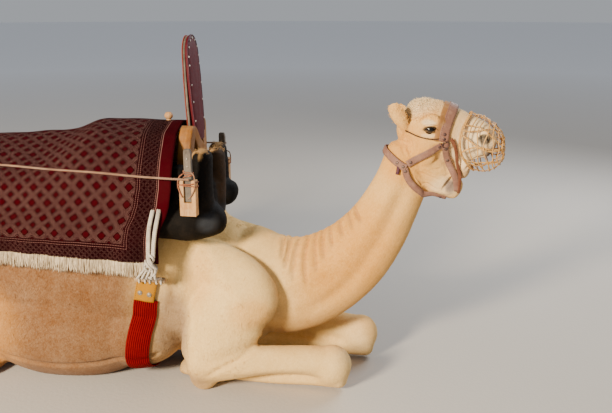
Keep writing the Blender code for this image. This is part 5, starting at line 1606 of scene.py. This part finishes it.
def side_ropes(grid, normal, paints):
    """A laid rope along each flank, taut over the rug from the front post to three turns round the rear yoke.
    It goes straight past whatever does not bear on it, as a string pulled round the outside would."""
    columns = grid.shape[1]
    for side, sign in SIDES:
        half = slice(0, columns // 2 + 1) if sign < 0 else slice(columns // 2, columns)
        front_x = POST_X + 0.012 - (PAD_BACK if sign > 0 else 0.0) + SHIFT[0]
        spots = [[front_x, sign * 0.391, 0.942], [front_x - 0.07, sign * 0.388, 0.942]]
        for line, out in zip(grid[::2, half], normal[::2, half]):
            raised = line + out * 0.0062
            raised = raised[np.argsort(raised[:, 2])]
            height = float(np.interp(line[:, 0].mean() - SHIFT[0], *np.array(ROPE_HEIGHTS).T))
            spots.append([*read_at([height], raised[:, 2], raised[:, :2])[0], height])
        taut = []
        for p in spots + [on_side(ROPE_END, sign).tolist()]:
            while len(taut) > 2 and (abs(taut[-1][1]) - abs(taut[-2][1])) * (taut[-2][0] - p[0]) < (
                    abs(p[1]) - abs(taut[-2][1])) * (taut[-2][0] - taut[-1][0]):
                taut.pop()
            taut.append(p)
        path = resampled(taut, 0.0032)
        path[:, 2] -= 0.0022 * np.sin(np.linspace(0, math.pi * 3, len(path))) ** 2
        rope = twisted(path, (0, 0, 1), 0.0045, 3, 52, sides=12)
        rise = unit(np.array([0, -sign * 0.56, 0.83]))
        turns = [ring_shape(on_side(ROPE_BEAM, sign) + rise * 0.0085 * k, np.array([1.0, 0, 0]),
                            np.cross(rise, (1.0, 0, 0)), rise, 0.0345, 0.0045) for k in (-1, 0, 1)]
        piece("taut_rope_" + side, [rope] + turns, paints["rope"], "cord", "side_rope_" + side)


def knob(grid, paints):
    """A wooden knob on the ridge of the rug: a round body over a short waist."""
    middle = grid[:, grid.shape[1] // 2]
    x = KNOB_X + SHIFT[0]
    z = float(np.interp(-x, -middle[:, 0], middle[:, 2]))
    rows = [(x, 0.015, z + high, radius, radius) for high, radius in KNOB_RADII]
    piece("saddle_knob", [limb(np.array(rows), sides=28, steps=5, cap=0.35)], paints["pine"], "wood")


# ---- the girth: x, y, z beside the left flank ----
GIRTH_WIDE, GIRTH_LOW_X = .096, -.258
TAB = [(-.172, .36, .5), (-.18, .36, .474), (-.187, .36, .44), (-.196, .36, .396)]
TOGGLE = [(-.23, .496, .0098), (-.222, .4962, .0122), (-.19, .497, .0118), (-.165, .498, .0105),
          (-.14, .498, .0118), (-.108, .498, .0122), (-.1, .498, .0098)]   # x, z, radius
CORDS = [[(-.094, .362, .812), (-.088, .386, .8), (-.098, .4, .74), (-.108, .4005, .68), (-.114, .4005, .62)],
         [(-.118, .362, .808), (-.114, .388, .796), (-.124, .4, .74), (-.13, .4005, .68), (-.134, .4005, .615)]]
KNOTS = [(-.124, .402, .618, .013, .015, .4), (-.118, .404, .596, .017, .019, 1.3),   # centre, half
         (-.138, .4, .584, .015, .021, 2.3), (-.124, .394, .566, .018, .022, .2),      # sizes, lean
         (-.142, .388, .552, .014, .02, 1.8)]
ENDS = [(-.15, -.206, .004), (-.14, -.18, .006), (-.128, -.16, .002), (-.118, -.132, .004),
        (-.108, -.112, .003)]        # x at the top and at the foot, how far they swing out


def girth_cords(sign, bar_y):
    """Two braided cords down to a bundle of knots, whose loose ends lie over the toggle."""
    grids = []
    for run in CORDS:
        grids += braid(smooth_rows(on_side(run, sign), 8), (1, 0, 0), 0.0052, 0.004, 0.026)
    turn = np.linspace(0, 2 * math.pi, 60)
    for k, (x, y, z, wide, tall, lean) in enumerate(KNOTS):
        loop = np.stack([x + wide * np.cos(turn + lean) + 0.004 * np.sin(2 * turn),
                         y + 0.0085 * np.sin(2 * turn + k), z + tall * np.sin(turn)], axis=1)
        grids.append(twisted(resampled(on_side(loop, sign), 0.0032), (0, 1, 0.3), 0.0056, 3, 55, sides=12))
    for top, foot, swing in ENDS:
        line = [(top, 0.396, 0.575), ((top * 2 + foot) / 3, 0.397 + swing, 0.552),
                ((top + 2 * foot) / 3, 0.392 + swing, 0.53), (foot, bar_y + 0.015, 0.512),
                (foot - 0.001, bar_y + 0.0165, 0.496), (foot, bar_y + 0.014, 0.486)]
        path = resampled(smooth_rows(on_side(line, sign), 6), 0.0032)
        grids.append(twisted(path, (1, 0.2, 0), 0.0048, 3, 60, sides=12))
    return grids


def girth(face, paints):
    """Webbing under the chest, laid over the hide, with a tab, a toggle and knotted cords at each end."""
    path = []
    for z in (0.4, 0.36, 0.32, 0.26, 0.2, 0.15, 0.11):
        x = -0.197 - 0.058 * (0.4 - z) / 0.3 + SHIFT[0]
        path.append((x, face.ray_cast(Vector((x, -1, z)), Vector((0, 1, 0)))[0].y, z))
    x = GIRTH_LOW_X + SHIFT[0]
    for y in (-0.22, -0.12, 0.0):
        path.append((x, y, face.ray_cast(Vector((x, y, -1)), Vector((0, 0, 1)))[0].z))
    band = Band(face, over_both(path), GIRTH_WIDE, 0.0045, lift=0.004, steps=8, across=17, bridge=20)
    grid = band.grid()
    grid[..., 2] = np.maximum(grid[..., 2], 0.0008)
    webbing = piece("girth_band", [grid], paints["girth"], "girth", "girth")
    across = np.interp(np.arange(grid.shape[1]), [0, 16, 17, 18, 34, 35],
                       [0, GIRTH_WIDE, GIRTH_WIDE + 0.001, GIRTH_WIDE, 0, -0.001])
    laid_flat(webbing, "weave", np.stack(np.broadcast_arrays(across, way_along(band.top[:, 8])[:, None]),
                                         axis=-1))
    for side, sign in SIDES:
        tab = Band(face, on_side(TAB, sign), 0.08, 0.0045, lift=0.0095, steps=6, across=9)
        slot = "yellow_leather"
        piece("girth_tab_" + side, [tab.grid()], paints[slot], slot, "tab_" + side)
        rivets = [dome(*tab.at(0.74, k), 0.008, 0.0034) for k in (-0.24, 0.24)]
        rivets += [ring_shape(*tab.at(0.74, k, 0.0004), 0.0088, 0.0015) for k in (-0.24, 0.24)]
        piece("tab_rivets_" + side, rivets, paints["rivet"], slot)
        dressed(outward(mesh_object("tab_stitching_" + side, *stitches(tab), paints["thread"])), slot)
        low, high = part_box("toggle_" + side)
        y = (low.y + high.y) / 2
        rows = np.array([(x, y, z, radius, radius) for x, z, radius in TOGGLE])
        bar = limb(rows, sides=18, steps=3, cap=0.35, side=(0, 0, 1)) + SHIFT
        piece("girth_toggle_" + side, [bar], paints["bar_wood"], "wood", "toggle_" + side)
        piece("girth_cords_" + side, girth_cords(sign, abs(y)), paints["cotton"], "cord", "cords_" + side)


# ---- finishes of what is worn ----
def leather_finish(name, colour, worn, wear, dust, rough=0.55, grain=420.0):
    """Leather with pores and folds, rougher where it is worn or dusty."""
    made = Finish(name, Roughness=rough, Specular_IOR_Level=0.22)
    mask = made.worn(colour, worn, 55.0, wear, dust)
    made.bump(plus(times(made.pores(grain), 0.35), noise(made.where, 70.0, 4.0, 0.6)), 0.0009)
    made.link(plus(times(mask, 0.25), rough), "Roughness")
    return made.material


def fibre_finish(name, colour, dark, scale=(500, 500, 90), rough=0.9, dust=0.15):
    """Twisted or plaited fibre: fine streaks along it, with painted shade darkening the hollows."""
    made = Finish(name, Roughness=rough, Specular_IOR_Level=0.15, Sheen_Weight=0.15)
    streak = noise(mapped(made.where, scale), 1.0, 3.0, 0.6)
    broad = noise(made.where, 24.0, 3.0)
    both = plus(times(streak, 0.6), times(broad, 0.4))
    # painted shade: the hollows of the streaks take the darker colour
    tone = mixed(ramp(both, [(0.36, 0.0), (0.62, 1.0)]), dark, colour)
    made.worn(tone, colour, 30.0, 0.1, dust)
    made.bump(streak, 0.0012)
    return made.material


def wood_finish(name, light_tone, dark_tone, scale, wear, worn=(0.6, 0.48, 0.34), rough=0.62):
    """Grain as stretched noise pushed through a ramp, with fine pores along it."""
    made = Finish(name, Roughness=rough, Specular_IOR_Level=0.3)
    along = mapped(made.where, scale)
    rings = noise(along, 1.0, 5.0, 0.55, 1.2)
    pores = noise(mapped(along, (2, 9, 9)), 1.0, 2.0)
    tone = mixed(ramp(rings, [(0.35, 0.0), (0.5, 0.7), (0.62, 1.0)]), dark_tone, light_tone)
    tone = mixed(ramp(pores, [(0.55, 0.0), (0.7, 0.55)]), tone, dark_tone)
    made.worn(tone, worn, 35.0, wear, 0.2)
    made.bump(plus(rings, times(pores, -0.6)), 0.0012)
    return made.material


def metal_finish(name, colour, worn):
    """Dull metal that shows paler where it is rubbed."""
    made = Finish(name, Metallic=0.6, Roughness=0.5)
    made.worn(colour, worn, 200.0, 0.6, 0.2)
    return made.material


def lattice_effect():
    """The woven pattern of the rug from its cut measured in metres. With a and b the distances from the
    nearest star, in shares of the repeat, the value |a| + |b| is 0 at stars and 1 at lozenges, and lines lie
    at steps of it."""
    tree, given, out = effect("lattice", {"Along": 0.0, "Over": 0.0, "Wide": 0.069, "Tall": 0.064},
                              {"Lines": "Float", "Red": "Float"})

    def folded(value, repeat):
        return magnitude(minus(fraction(ratio(value, repeat)), 0.5))

    a, b = folded(given["Along"], given["Wide"]), folded(given["Over"], given["Tall"])
    total, cross = plus(a, b), magnitude(minus(a, b))
    star = larger(below(larger(a, b), 0.152), below(total, 0.215))
    lines = between(total, 0.326, 0.345)
    for low, high in ((0.455, 0.475), (0.52, 0.537), (0.63, 0.65), (0.735, 0.752)):
        lines = larger(lines, between(total, low, high))
    hatch = times(below(fraction(times(cross, 13.0)), 0.26), between(total, 0.37, 0.43))
    dots = times(below(fraction(times(cross, 9.0)), 0.35), between(total, 0.56, 0.605))
    lines = larger(lines, larger(hatch, dots))
    put(out["Lines"], times(lines, minus(1.0, star)))
    put(out["Red"], larger(star, above(total, 0.84)))
    return tree


def rug_finish():
    """Maroon wool with a cream lattice, a border of the same lattice made small between dotted lines, and
    plain bands at the edges."""
    made = Finish("woven_rug", Roughness=0.95, Specular_IOR_Level=0.03)
    along, over = made.cut("cut")
    lattice = lattice_effect()
    field = made.group(lattice, Along=along, Over=over)
    small = made.group(lattice, Along=along, Over=over, Wide=0.0245, Tall=0.0225)
    from_front = minus(along, 0.03)
    from_hem = minus(0.752, magnitude(over))
    edge = smaller(from_front, from_hem)
    run = mixed(below(from_hem, from_front), over, along)
    run = node(made.tree, "ShaderNodeSeparateColor", {"Color": run}).outputs[0]
    border = times(times(small["Lines"], 0.75), between(edge, 0.034, 0.094))
    dotted = below(fraction(times(run, 130.0)), 0.55)
    inner = larger(between(edge, 0.098, 0.1005), between(edge, 0.108, 0.1105))
    rules = larger(between(edge, 0.0205, 0.0235), times(dotted, larger(between(edge, 0.028, 0.031), inner)))
    inside = above(edge, 0.116)
    lines = larger(times(field["Lines"], inside), larger(border, rules))
    red = larger(times(field["Red"], inside), below(edge, 0.0205))
    flat = node(made.tree, "ShaderNodeCombineXYZ", {"X": along, "Y": over}).outputs[0]
    warp = noise(mapped(flat, (900, 420, 1)), 1.0, 2.0)
    fade = noise(made.where, 7.0, 4.0, 0.6)
    ground = mixed(fade, (0.0155, 0.0004, 0.0016), (0.009, 0.0002, 0.001))
    ground = mixed(red, ground, (0.042, 0.0002, 0.0026))
    cream = mixed(fade, (0.37, 0.19, 0.16), (0.26, 0.12, 0.105))
    yarn = mixed(times(lines, 0.8), ground, cream)
    hollows = mixed(1.0, yarn, (0.62, 0.6, 0.6), "MULTIPLY")
    shaded = mixed(ramp(warp, [(0.35, 0.0), (0.62, 1.0)]), hollows, yarn)
    made.worn(shaded, (0.04, 0.006, 0.007), 14.0, 0.16, 0.004)
    made.bump(plus(warp, times(lines, 0.5)), 0.0018)
    return made.material


def girth_finish():
    """Ribbed scarlet webbing: fine ribs across the band's own width, with painted shade darkening the dips
    between them.
    """
    made = Finish("girth_webbing", Roughness=0.8, Specular_IOR_Level=0.06)
    across, along = made.cut("weave")
    ribs = sine(times(across, 2 * math.pi / 0.0085))
    wefts = sine(times(along, 2 * math.pi / 0.0022))
    height = plus(times(ribs, 0.75), times(wefts, 0.25))
    # painted shade: the webbing is darker where the ribs dip
    tone = mixed(ramp(plus(times(height, 0.5), 0.5), [(0.1, 0.0), (0.7, 1.0)]), (0.05, 0.0, 0.0002),
                 (0.22, 0.0, 0.0002))
    made.worn(tone, (0.26, 0.004, 0.003), 40.0, 0.2, 0.0)
    made.bump(height, 0.0014)
    return made.material


def pad_finish():
    """Old hide in the colours of the points, with level folds."""
    made = Finish("pad_hide", Roughness=0.7, Specular_IOR_Level=0.09)
    made.worn(marked(made), (0.018, 0.012, 0.008), 26.0, 0.28, 0.006)
    folds = noise(mapped(made.where, (30, 30, 75)), 1.0, 4.0, 0.6, 1.0)
    made.bump(plus(times(made.pores(260.0), 0.25), folds), 0.0022)
    return made.material


LEATHERS = {   # name, colour, worn colour, wear, dust, roughness, pores to the metre
    "halter": ("halter_leather", (.215, .1, .068), (.3, .16, .105), .7, .1),
    "lining": ("halter_lining", (.3, .135, .04), (.4, .22, .09), .6, .2, .7),
    "strip": ("strip_leather", (.15, .048, .022), (.24, .1, .05), .5, .05),
    "red_leather": ("paddle_leather", (.07, 0, .003), (.1, .002, .005), .5, .008, .6, 300),
    "orange_leather": ("backing_leather", (.2, .022, .008), (.24, .055, .02), .5, .03, .6),
    "welt": ("welt_leather", (.055, .01, .022), (.13, .035, .04), .4, .05, .5),
    "yellow_leather": ("tab_leather", (.37, .158, 0), (.39, .172, 0), .3, 0, .85),
}
# the second colour of each fibre is painted shade for its hollows
FIBRES = {   # name, colour, colour of the hollows, scale of the streaks, roughness, dust
    "thread": ("waxed_thread", (.085, .045, .03), (.035, .018, .012)),
    "brow_cord": ("brow_cord_fibre", (.085, .032, .018), (.026, .01, .007)),
    "cotton": ("cotton_cord", (.7, .63, .52), (.28, .23, .18), (500, 500, 90), .9, .2),
    "rope": ("rope_fibre", (.31, .165, .095), (.13, .062, .036)),
    "orange_cord": ("lashing_fibre", (.36, .115, .045), (.15, .045, .022)),
    "fringe": ("fringe_yarn", (.7, .57, .39), (.34, .25, .15), (300, 300, 40)),
    "straw": ("stuffing_straw", (.52, .31, .115), (.26, .13, .042)),
    "tape": ("white_tape", (.68, .64, .58), (.4, .36, .32)),
}
WOODS = {   # name, light grain, dark grain, scale of the grain, wear, worn colour, roughness
    "cane": ("split_cane", (.66, .355, .08), (.32, .135, .03), (70, 70, 70), .3, (.7, .45, .17), .5),
    "yellow_wood": ("painted_yoke", (.245, .085, 0), (.15, .048, 0), (60, 7, 7), .3, (.25, .105, .008), .7),
    "pine": ("pine_block", (.5, .265, .095), (.36, .165, .05), (70, 70, 8), .2, (.6, .48, .34), .6),
    "bar_wood": ("toggle_wood", (.42, .26, .12), (.18, .095, .038), (12, 80, 80), .3),
    "grey_wood": ("grey_wood", (.115, .095, .077), (.05, .04, .031), (70, 70, 8), .4, (.18, .14, .105), .8),
    "board": ("seat_board_wood", (.44, .28, .14), (.28, .15, .07), (7, 40, 40), .3),
}
METALS = {   # name, colour, worn colour
    "rivet": ("rivet_metal", (.22, .19, .16), (.42, .38, .33)),
    "dark_rivet": ("dark_rivet", (.075, .038, .034), (.2, .12, .1)),
}


def finishes():
    """Every finish of what is worn, by the name it is asked for."""
    kinds = ((leather_finish, LEATHERS), (fibre_finish, FIBRES), (wood_finish, WOODS), (metal_finish, METALS))
    paints = {key: finish(*row) for finish, rows in kinds for key, row in rows.items()}
    stud = Finish("pale_stud", Roughness=0.4, Base_Color=(0.62, 0.58, 0.52, 1)).material
    return {**paints, "rug": rug_finish(), "girth": girth_finish(), "pad": pad_finish(), "pale_stud": stud}


def wear(face, skin):
    """Dresses the body, and gives back the pieces that hide skin."""
    paints = finishes()
    halter(face, paints)
    basket(paints)
    pad_pieces = pads(skin, paints)
    boards = [NODES["seat_board_front"], NODES["seat_board_rear"]]
    for board in boards:
        board.data.materials.clear()
        board.data.materials.append(paints["board"])
    yoke("front_yoke_beam", YOKE_FRONT, paints["yellow_wood"], "front_yoke")
    yoke("rear_yoke_beam", YOKE_REAR, paints["yellow_wood"], "rear_yoke")
    posts(paints)
    for row in PADDLES:
        paddle(*row, paints)
    cloth, grid, normal = rug(pad_pieces, paints)
    tassels = fringes(grid, face, paints)
    side_ropes(grid, normal, paints)
    knob(grid, paints)
    girth(face, paints)
    hides = ("halter_", "saddle_", "girth_band", "girth_tab", "front_yoke", "rear_yoke")
    return [o for o in bpy.data.objects if o.name.startswith(hides)] + boards


# ---- the coat's tufts ----
LAY = [   # where on the left side, and which way the hair lies there
    ((1.15, 0, 1.1), (-.9, .1, .35)), ((1.02, .06, 1.08), (-.95, 0, .1)), ((.92, .07, 1.16), (-.8, .1, .5)),
    ((.9, .08, 1), (-.8, 0, -.6)), ((1, .05, .87), (-.9, 0, -.3)), ((.8, .06, 1.08), (-.7, .1, -.6)),
    ((.75, .08, .9), (-.6, 0, -.8)), ((.66, .1, .68), (-.65, 0, -.75)), ((.45, .12, .48), (-.85, 0, -.5)),
    ((.2, .25, .5), (-.5, .1, -.85)), ((.1, .3, .25), (-.2, .1, -.98)), ((-.3, .35, .4), (-.75, 0, -.65)),
    ((-.6, .2, .95), (-.9, .2, -.3)), ((-.9, .33, .4), (-.5, 0, -.85)), ((-1.2, .2, .6), (-.45, 0, -.9)),
    ((-1.4, 0, .4), (-.15, 0, -1)), ((.3, .22, .12), (.97, 0, -.1)), ((.55, .18, .1), (.9, 0, -.4)),
    ((-.5, .33, .07), (-.9, 0, -.3)), ((-1.3, .3, .1), (.7, 0, -.6)),
]
LAY_REACH = .12
COAT = {   # tufts, length, width, lift in degrees, curl, and a test for its part of the skin
    "face": (17500, .006, .0014, 9, .08, lambda x, z: (x > .8) & (z > .78)),
    "neck": (19000, .012, .0019, 5, .12, lambda x, z: (x > .22) & (z > .22) & ~((x > .8) & (z > .78))),
    "front": (19000, .013, .0022, 6, .13, lambda x, z: (x > -.45) & (x <= .22) & (z > .1)),
    "rear": (19000, .015, .0025, 7, .15, lambda x, z: (x <= -.45) & (z > .1)),
    "low": (15000, .0085, .0018, 7, .1, lambda x, z: ((x > .22) & (z <= .22)) | (z <= .1)),
    "crown": (6500, .0165, .0022, 15, .5, lambda x, z: (x > .8) & (x < .985) & (z > 1.145)),
}
ROOT_DEPTH = .0006                  # how far under the skin a tuft starts
GEAR_REACH = .055                   # no tuft grows where gear lies this near over it
PATCH = .0015                       # half the size of a tuft's patch on the unwrap
TUFT_PATCH = np.array([(-1, -1), (1, -1), (0, -.7), (-.7, .2), (.7, .2), (0, .4), (0, 1)]) * PATCH


class Unwrap:
    """The skin's own unwrap, from a coarse copy of it, read at any points."""

    def __init__(self, skin):
        coarse = skin.copy()
        coarse.data = skin.data.copy()
        bpy.context.scene.collection.objects.link(coarse)
        thin = coarse.modifiers.new("thin", "DECIMATE")
        thin.ratio = 0.05
        applied(coarse)
        bpy.context.view_layer.objects.active = coarse
        coarse.select_set(True)
        bpy.ops.object.mode_set(mode="EDIT")
        bpy.ops.mesh.select_all(action="SELECT")
        bpy.ops.mesh.quads_convert_to_tris()
        bpy.ops.uv.smart_project(angle_limit=math.radians(70), island_margin=0.004)
        bpy.ops.object.mode_set(mode="OBJECT")
        self.tree = tree_of(coarse)
        self.points = points_of(coarse)
        self.corners = np.array([list(p.vertices) for p in coarse.data.polygons])
        self.flat = read_out(coarse.data.uv_layers.active.data, "uv", 2).reshape(-1, 3, 2)
        bpy.data.objects.remove(coarse)

    def at(self, spots):
        """Each spot's place on the unwrap, from its nearest triangle's corners weighted by area."""
        index = np.array([self.tree.find_nearest(Vector(s))[2] for s in spots])
        a, b, c = (self.points[self.corners[index, k]] for k in range(3))
        ab, ac, ap = b - a, c - a, spots - a
        d00, d01, d11 = (ab * ab).sum(1), (ab * ac).sum(1), (ac * ac).sum(1)
        d20, d21 = (ap * ab).sum(1), (ap * ac).sum(1)
        share = np.maximum(d00 * d11 - d01 * d01, 1e-14)
        v, w = (d11 * d20 - d01 * d21) / share, (d00 * d21 - d01 * d20) / share
        weight = np.clip(np.stack([1 - v - w, v, w], axis=1), 0, 1)
        weight /= weight.sum(1, keepdims=True)
        return (self.flat[index] * weight[..., None]).sum(1)


def lay_at(spots, normals):
    """Which way hair lies: the table's directions weighted by exp(-(distance / reach)^2 / 2), laid on the
    skin."""
    where, way = (np.array([row[k] for row in LAY]) for k in (0, 1))
    near = np.exp(-((folded_over(spots)[:, None] - where) ** 2).sum(2) / (2 * LAY_REACH ** 2)) + 1e-9
    aim = near @ way
    aim[:, 1] *= np.sign(spots[:, 1])
    return unit(aim - normals * (aim * normals).sum(1, keepdims=True))


def tuft_piece(name, roots, lean, bend, length, wide, unwrap, paint):
    """Flat closed tufts joined in one piece, each with the colour of the skin at its root, painted about 6
    percent lighter on average against the shade among the tufts and varied up or down at random, and a small
    patch of its own on the unwrap."""
    points, faces = strands(roots, lean, bend, length, wide, joints=2, sides=3, taper=0.55, flat=0.45)
    tufts = mesh_object("coat_" + name, points, faces, paint)
    # painted light: the tufts are made about 6 percent lighter on average to offset their own shade
    tone = np.clip(rng.normal(1.06, 0.06, len(roots)), 0.85, 1.25)
    colours = np.clip(markings(roots) * tone[:, None], 0, 1)
    painted(tufts, np.repeat(colours, len(TUFT_PATCH), axis=0))
    laid_flat(tufts, "OFBake", unwrap.at(roots)[:, None] + TUFT_PATCH)
    return dressed(tufts, "coat")


def hairy(roots, normals, cover):
    """Which roots bear hair that shows: none under the gear, round the eyes, in the mouth or nostrils, on the
    bare pads or against the floor."""
    keep = np.array([cover.ray_cast(Vector(p + n * ROOT_DEPTH), Vector(n), GEAR_REACH)[0] is None
                     for p, n in zip(roots, normals)])
    for sign in (1, -1):
        keep &= lid_measure(roots, sign) > 2.2
    p = folded_over(roots)
    for colour, centre, radii, _ in SPOTS:
        if colour == BARE:
            keep &= norm((p - centre) / radii, axis=1) > 0.85
    for fold in ("mouth", "nostril"):
        keep &= away_from(p, smooth_rows(FOLDS[fold][2], 4)) > 0.01
    return keep & (roots[:, 2] > 0.006)


def lengths(name, roots, length):
    """Each tuft's length: a quarter up or down at random, less on the muzzle, and less down from the crown."""
    long = length * rng.uniform(0.75, 1.25, len(roots))
    p = folded_over(roots)
    if name == "face":
        return long * (1 - 0.45 * np.clip((p[:, 0] - 1.02) / 0.08, 0, 1))
    if name == "crown":
        away = norm((p - (0.892, 0, 1.215)) / (0.085, 0.085, 0.075), axis=1)
        return long * np.clip(1.25 - away * 0.62, 0.25, 1)
    return long


def coat(skin, gear, paint):
    """Tufts over all of the skin that shows, with roots drawn evenly by area, each lifted off the skin by the
    angle in the table and curled a little at random."""
    mesh = skin.data
    mesh.calc_loop_triangles()
    corners = read_out(mesh.loop_triangles, "vertices", 3, int)
    points, vertex_normals = points_of(skin), normals_of(skin)
    a, b, c = (points[corners[:, k]] for k in range(3))
    area = norm(np.cross(b - a, c - a), axis=1) / 2
    middle = (a + b + c) / 3 - SHIFT
    cover, unwrap = tree_of(*gear), Unwrap(skin)
    for name, (count, length, wide, lift, curl, where) in COAT.items():
        weight = area * where(middle[:, 0], middle[:, 2])
        chosen = rng.choice(len(area), int(count * 1.35), p=weight / weight.sum())
        u, v = rng.uniform(0, 1, (2, len(chosen), 1))
        u, v = np.where(u + v > 1, 1 - u, u), np.where(u + v > 1, 1 - v, v)
        roots = a[chosen] + (b - a)[chosen] * u + (c - a)[chosen] * v
        normals = unit(vertex_normals[corners[chosen]].mean(1))
        keep = hairy(roots, normals, cover)
        roots, normals = roots[keep][:count], normals[keep][:count]
        each = (len(roots), 1)
        lie = lay_at(roots, normals)
        if name == "crown":
            lie = unit(lie + rng.normal(0, 0.3, lie.shape))
        stray = np.radians(rng.normal(lift, lift * 0.22, each))
        across = np.cross(normals, lie)
        lean = unit(lie * np.cos(stray) + normals * np.sin(stray) + across * rng.normal(0, 0.16, each))
        bend = across * rng.normal(0, curl, each) - normals * np.sin(stray) * rng.uniform(0.3, 0.7, each)
        long = lengths(name, roots, length)
        broad = wide * rng.uniform(0.8, 1.2, len(roots))
        tuft_piece(name, roots - normals * ROOT_DEPTH, lean, bend, long, broad, unwrap, paint)
    return unwrap


def tail_hair(unwrap, paint):
    """The tail's own tuft: long coarse locks from its last hand's breadth, that fall along it and lie on the
    floor."""
    rows = np.array([row[:4] for row in RUNS["tail"]])
    line = smooth_rows(rows, 6)
    count = 700
    at = (len(line) - 1) * (1 - 0.38 * rng.uniform(0, 1, count) ** 1.4)
    low = np.minimum(at.astype(int), len(line) - 2)
    spot = line[low] + (line[low + 1] - line[low]) * (at - low)[:, None]
    ahead = unit((line[low + 1] - line[low])[:, :3])
    out = rng.normal(0, 1, (count, 3))
    out = unit(out - ahead * (out * ahead).sum(1, keepdims=True))
    roots = spot[:, :3] + SHIFT + out * (spot[:, 3:4] * 0.8)
    long = rng.uniform(0.045, 0.085, count)
    lean = unit(ahead + out * 0.25 + rng.normal(0, 0.08, (count, 3)))
    bend = -out * 0.1 + rng.normal(0, 0.1, (count, 3))
    tips = roots + (lean + bend) * long[:, None]
    bend[:, 2] += np.maximum(0.004 - tips[:, 2], 0) / long
    tuft_piece("tail", roots, lean, bend, long, np.full(count, 0.0034), unwrap, paint)


# ---- camera, light and floor ----
def camera():
    """The camera, at a standing person's eye height."""
    made = bpy.data.objects.new("camera", bpy.data.cameras.new("camera"))
    bpy.context.scene.collection.objects.link(made)
    made.data.lens, made.data.sensor_width = LENS, 36.0
    made.location = CAMERA_AT
    level = math.cos(CAMERA_DOWN)
    look = Vector((-math.sin(CAMERA_TURN) * level, math.cos(CAMERA_TURN) * level, -math.sin(CAMERA_DOWN)))
    made.rotation_euler = look.to_track_quat("-Z", "Y").to_euler()
    made.data.clip_end = 200
    bpy.context.scene.camera = made


def light(name, at, aim, power, size, tint):
    """A square soft light aimed at a point."""
    data = bpy.data.lights.new(name, "AREA")
    data.energy, data.size, data.color = power, size, tint
    made = bpy.data.objects.new(name, data)
    bpy.context.scene.collection.objects.link(made)
    made.location = at
    made.rotation_euler = (Vector(aim) - Vector(at)).to_track_quat("-Z", "Y").to_euler()


def room():
    """A pale floor without an edge in sight, a large soft key from the front left, and an even sky."""
    around = np.arange(64) * 2 * math.pi / 64
    disc = np.stack([60 * np.cos(around), 60 * np.sin(around), np.full(64, -0.0006)], axis=1)
    made = Finish("studio_floor", Roughness=0.9)
    tone = noise(made.where, 0.7, 3.0)
    away = node(made.tree, "ShaderNodeVectorMath", {0: made.where}, operation="LENGTH").outputs["Value"]
    far = ramp(ratio(away, 20.0), [(0.16, 0.0), (0.8, 1.0)])
    near = mixed(tone, (0.46, 0.425, 0.38), (0.5, 0.465, 0.415))
    made.link(mixed(far, near, (0.86, 0.88, 0.92)), "Base Color")
    made.bump(noise(made.where, 60.0, 3.0), 0.001)
    floor = mesh_object("studio_floor", disc, [list(range(64))], made.material, smooth=False)
    world = bpy.data.worlds.new("studio")
    bpy.context.scene.world = world
    world.use_nodes = True
    sky = world.node_tree.nodes["Background"]
    sky.inputs["Color"].default_value, sky.inputs["Strength"].default_value = (0.9, 0.94, 1.0, 1), 0.42
    light("key", (-2.5, -6.2, 3.1), (0.1, 0.0, 0.5), 1380, 1.25, (1.0, 0.86, 0.66))
    light("rim", (2.5, 3.2, 3.4), (0.2, 0.0, 0.6), 200, 2.5, (0.92, 0.95, 1.0))


def eyes(face, skin_paint):
    """Lids, eyeball and lashes on each side. The UV of an eyeball gives the turn round its pupil, and how far
    out."""
    eye_paint = eye_finish()
    lash_paint = Finish("lash", Roughness=0.5, Base_Color=(0.035, 0.022, 0.014, 1)).material
    for side, sign in SIDES:
        lid = grids_object("eyelids_" + side, [lids(face, sign)], skin_paint, ends=False)
        painted(lid, markings(points_of(lid)))
        dressed(lid, "coat")
        ball = outward(grids_object("eyeball_" + side, [eyeball(sign)], eye_paint))
        centre, ahead, up, gaze = lid_frame(sign)
        away = unit(points_of(ball) - centre)
        around = (np.arctan2(away @ up, away @ ahead) / (2 * math.pi)) % 1
        laid_flat(ball, "round", np.stack([around, np.arccos(np.clip(away @ gaze, -1, 1)) / math.pi], axis=1))
        dressed(ball, "eye", "eye_" + side)
        dressed(outward(mesh_object("lashes_" + side, *lashes(sign), lash_paint)), "eye")


def build():
    """The whole animal with its gear and coat, in the room."""
    camera()
    room()
    flesh = sculpted(fused_flesh())
    face = tree_of(flesh)
    skin_paint = coat_finish("coat_skin", 0.55, 0.0016)
    skin = thinned(drawn_in(opened_for_eyes(flesh)))
    skin.data.materials.append(skin_paint)
    painted(skin, markings(points_of(skin)))
    dressed(skin, "coat", *[name for name in NODES if name.startswith(FLESH_NODES)])
    eyes(face, skin_paint)
    gear = wear(face, skin)
    tuft_paint = coat_finish("coat_tufts", 0.25, 0.0006)
    tail_hair(coat(skin, gear, tuft_paint), tuft_paint)


build()
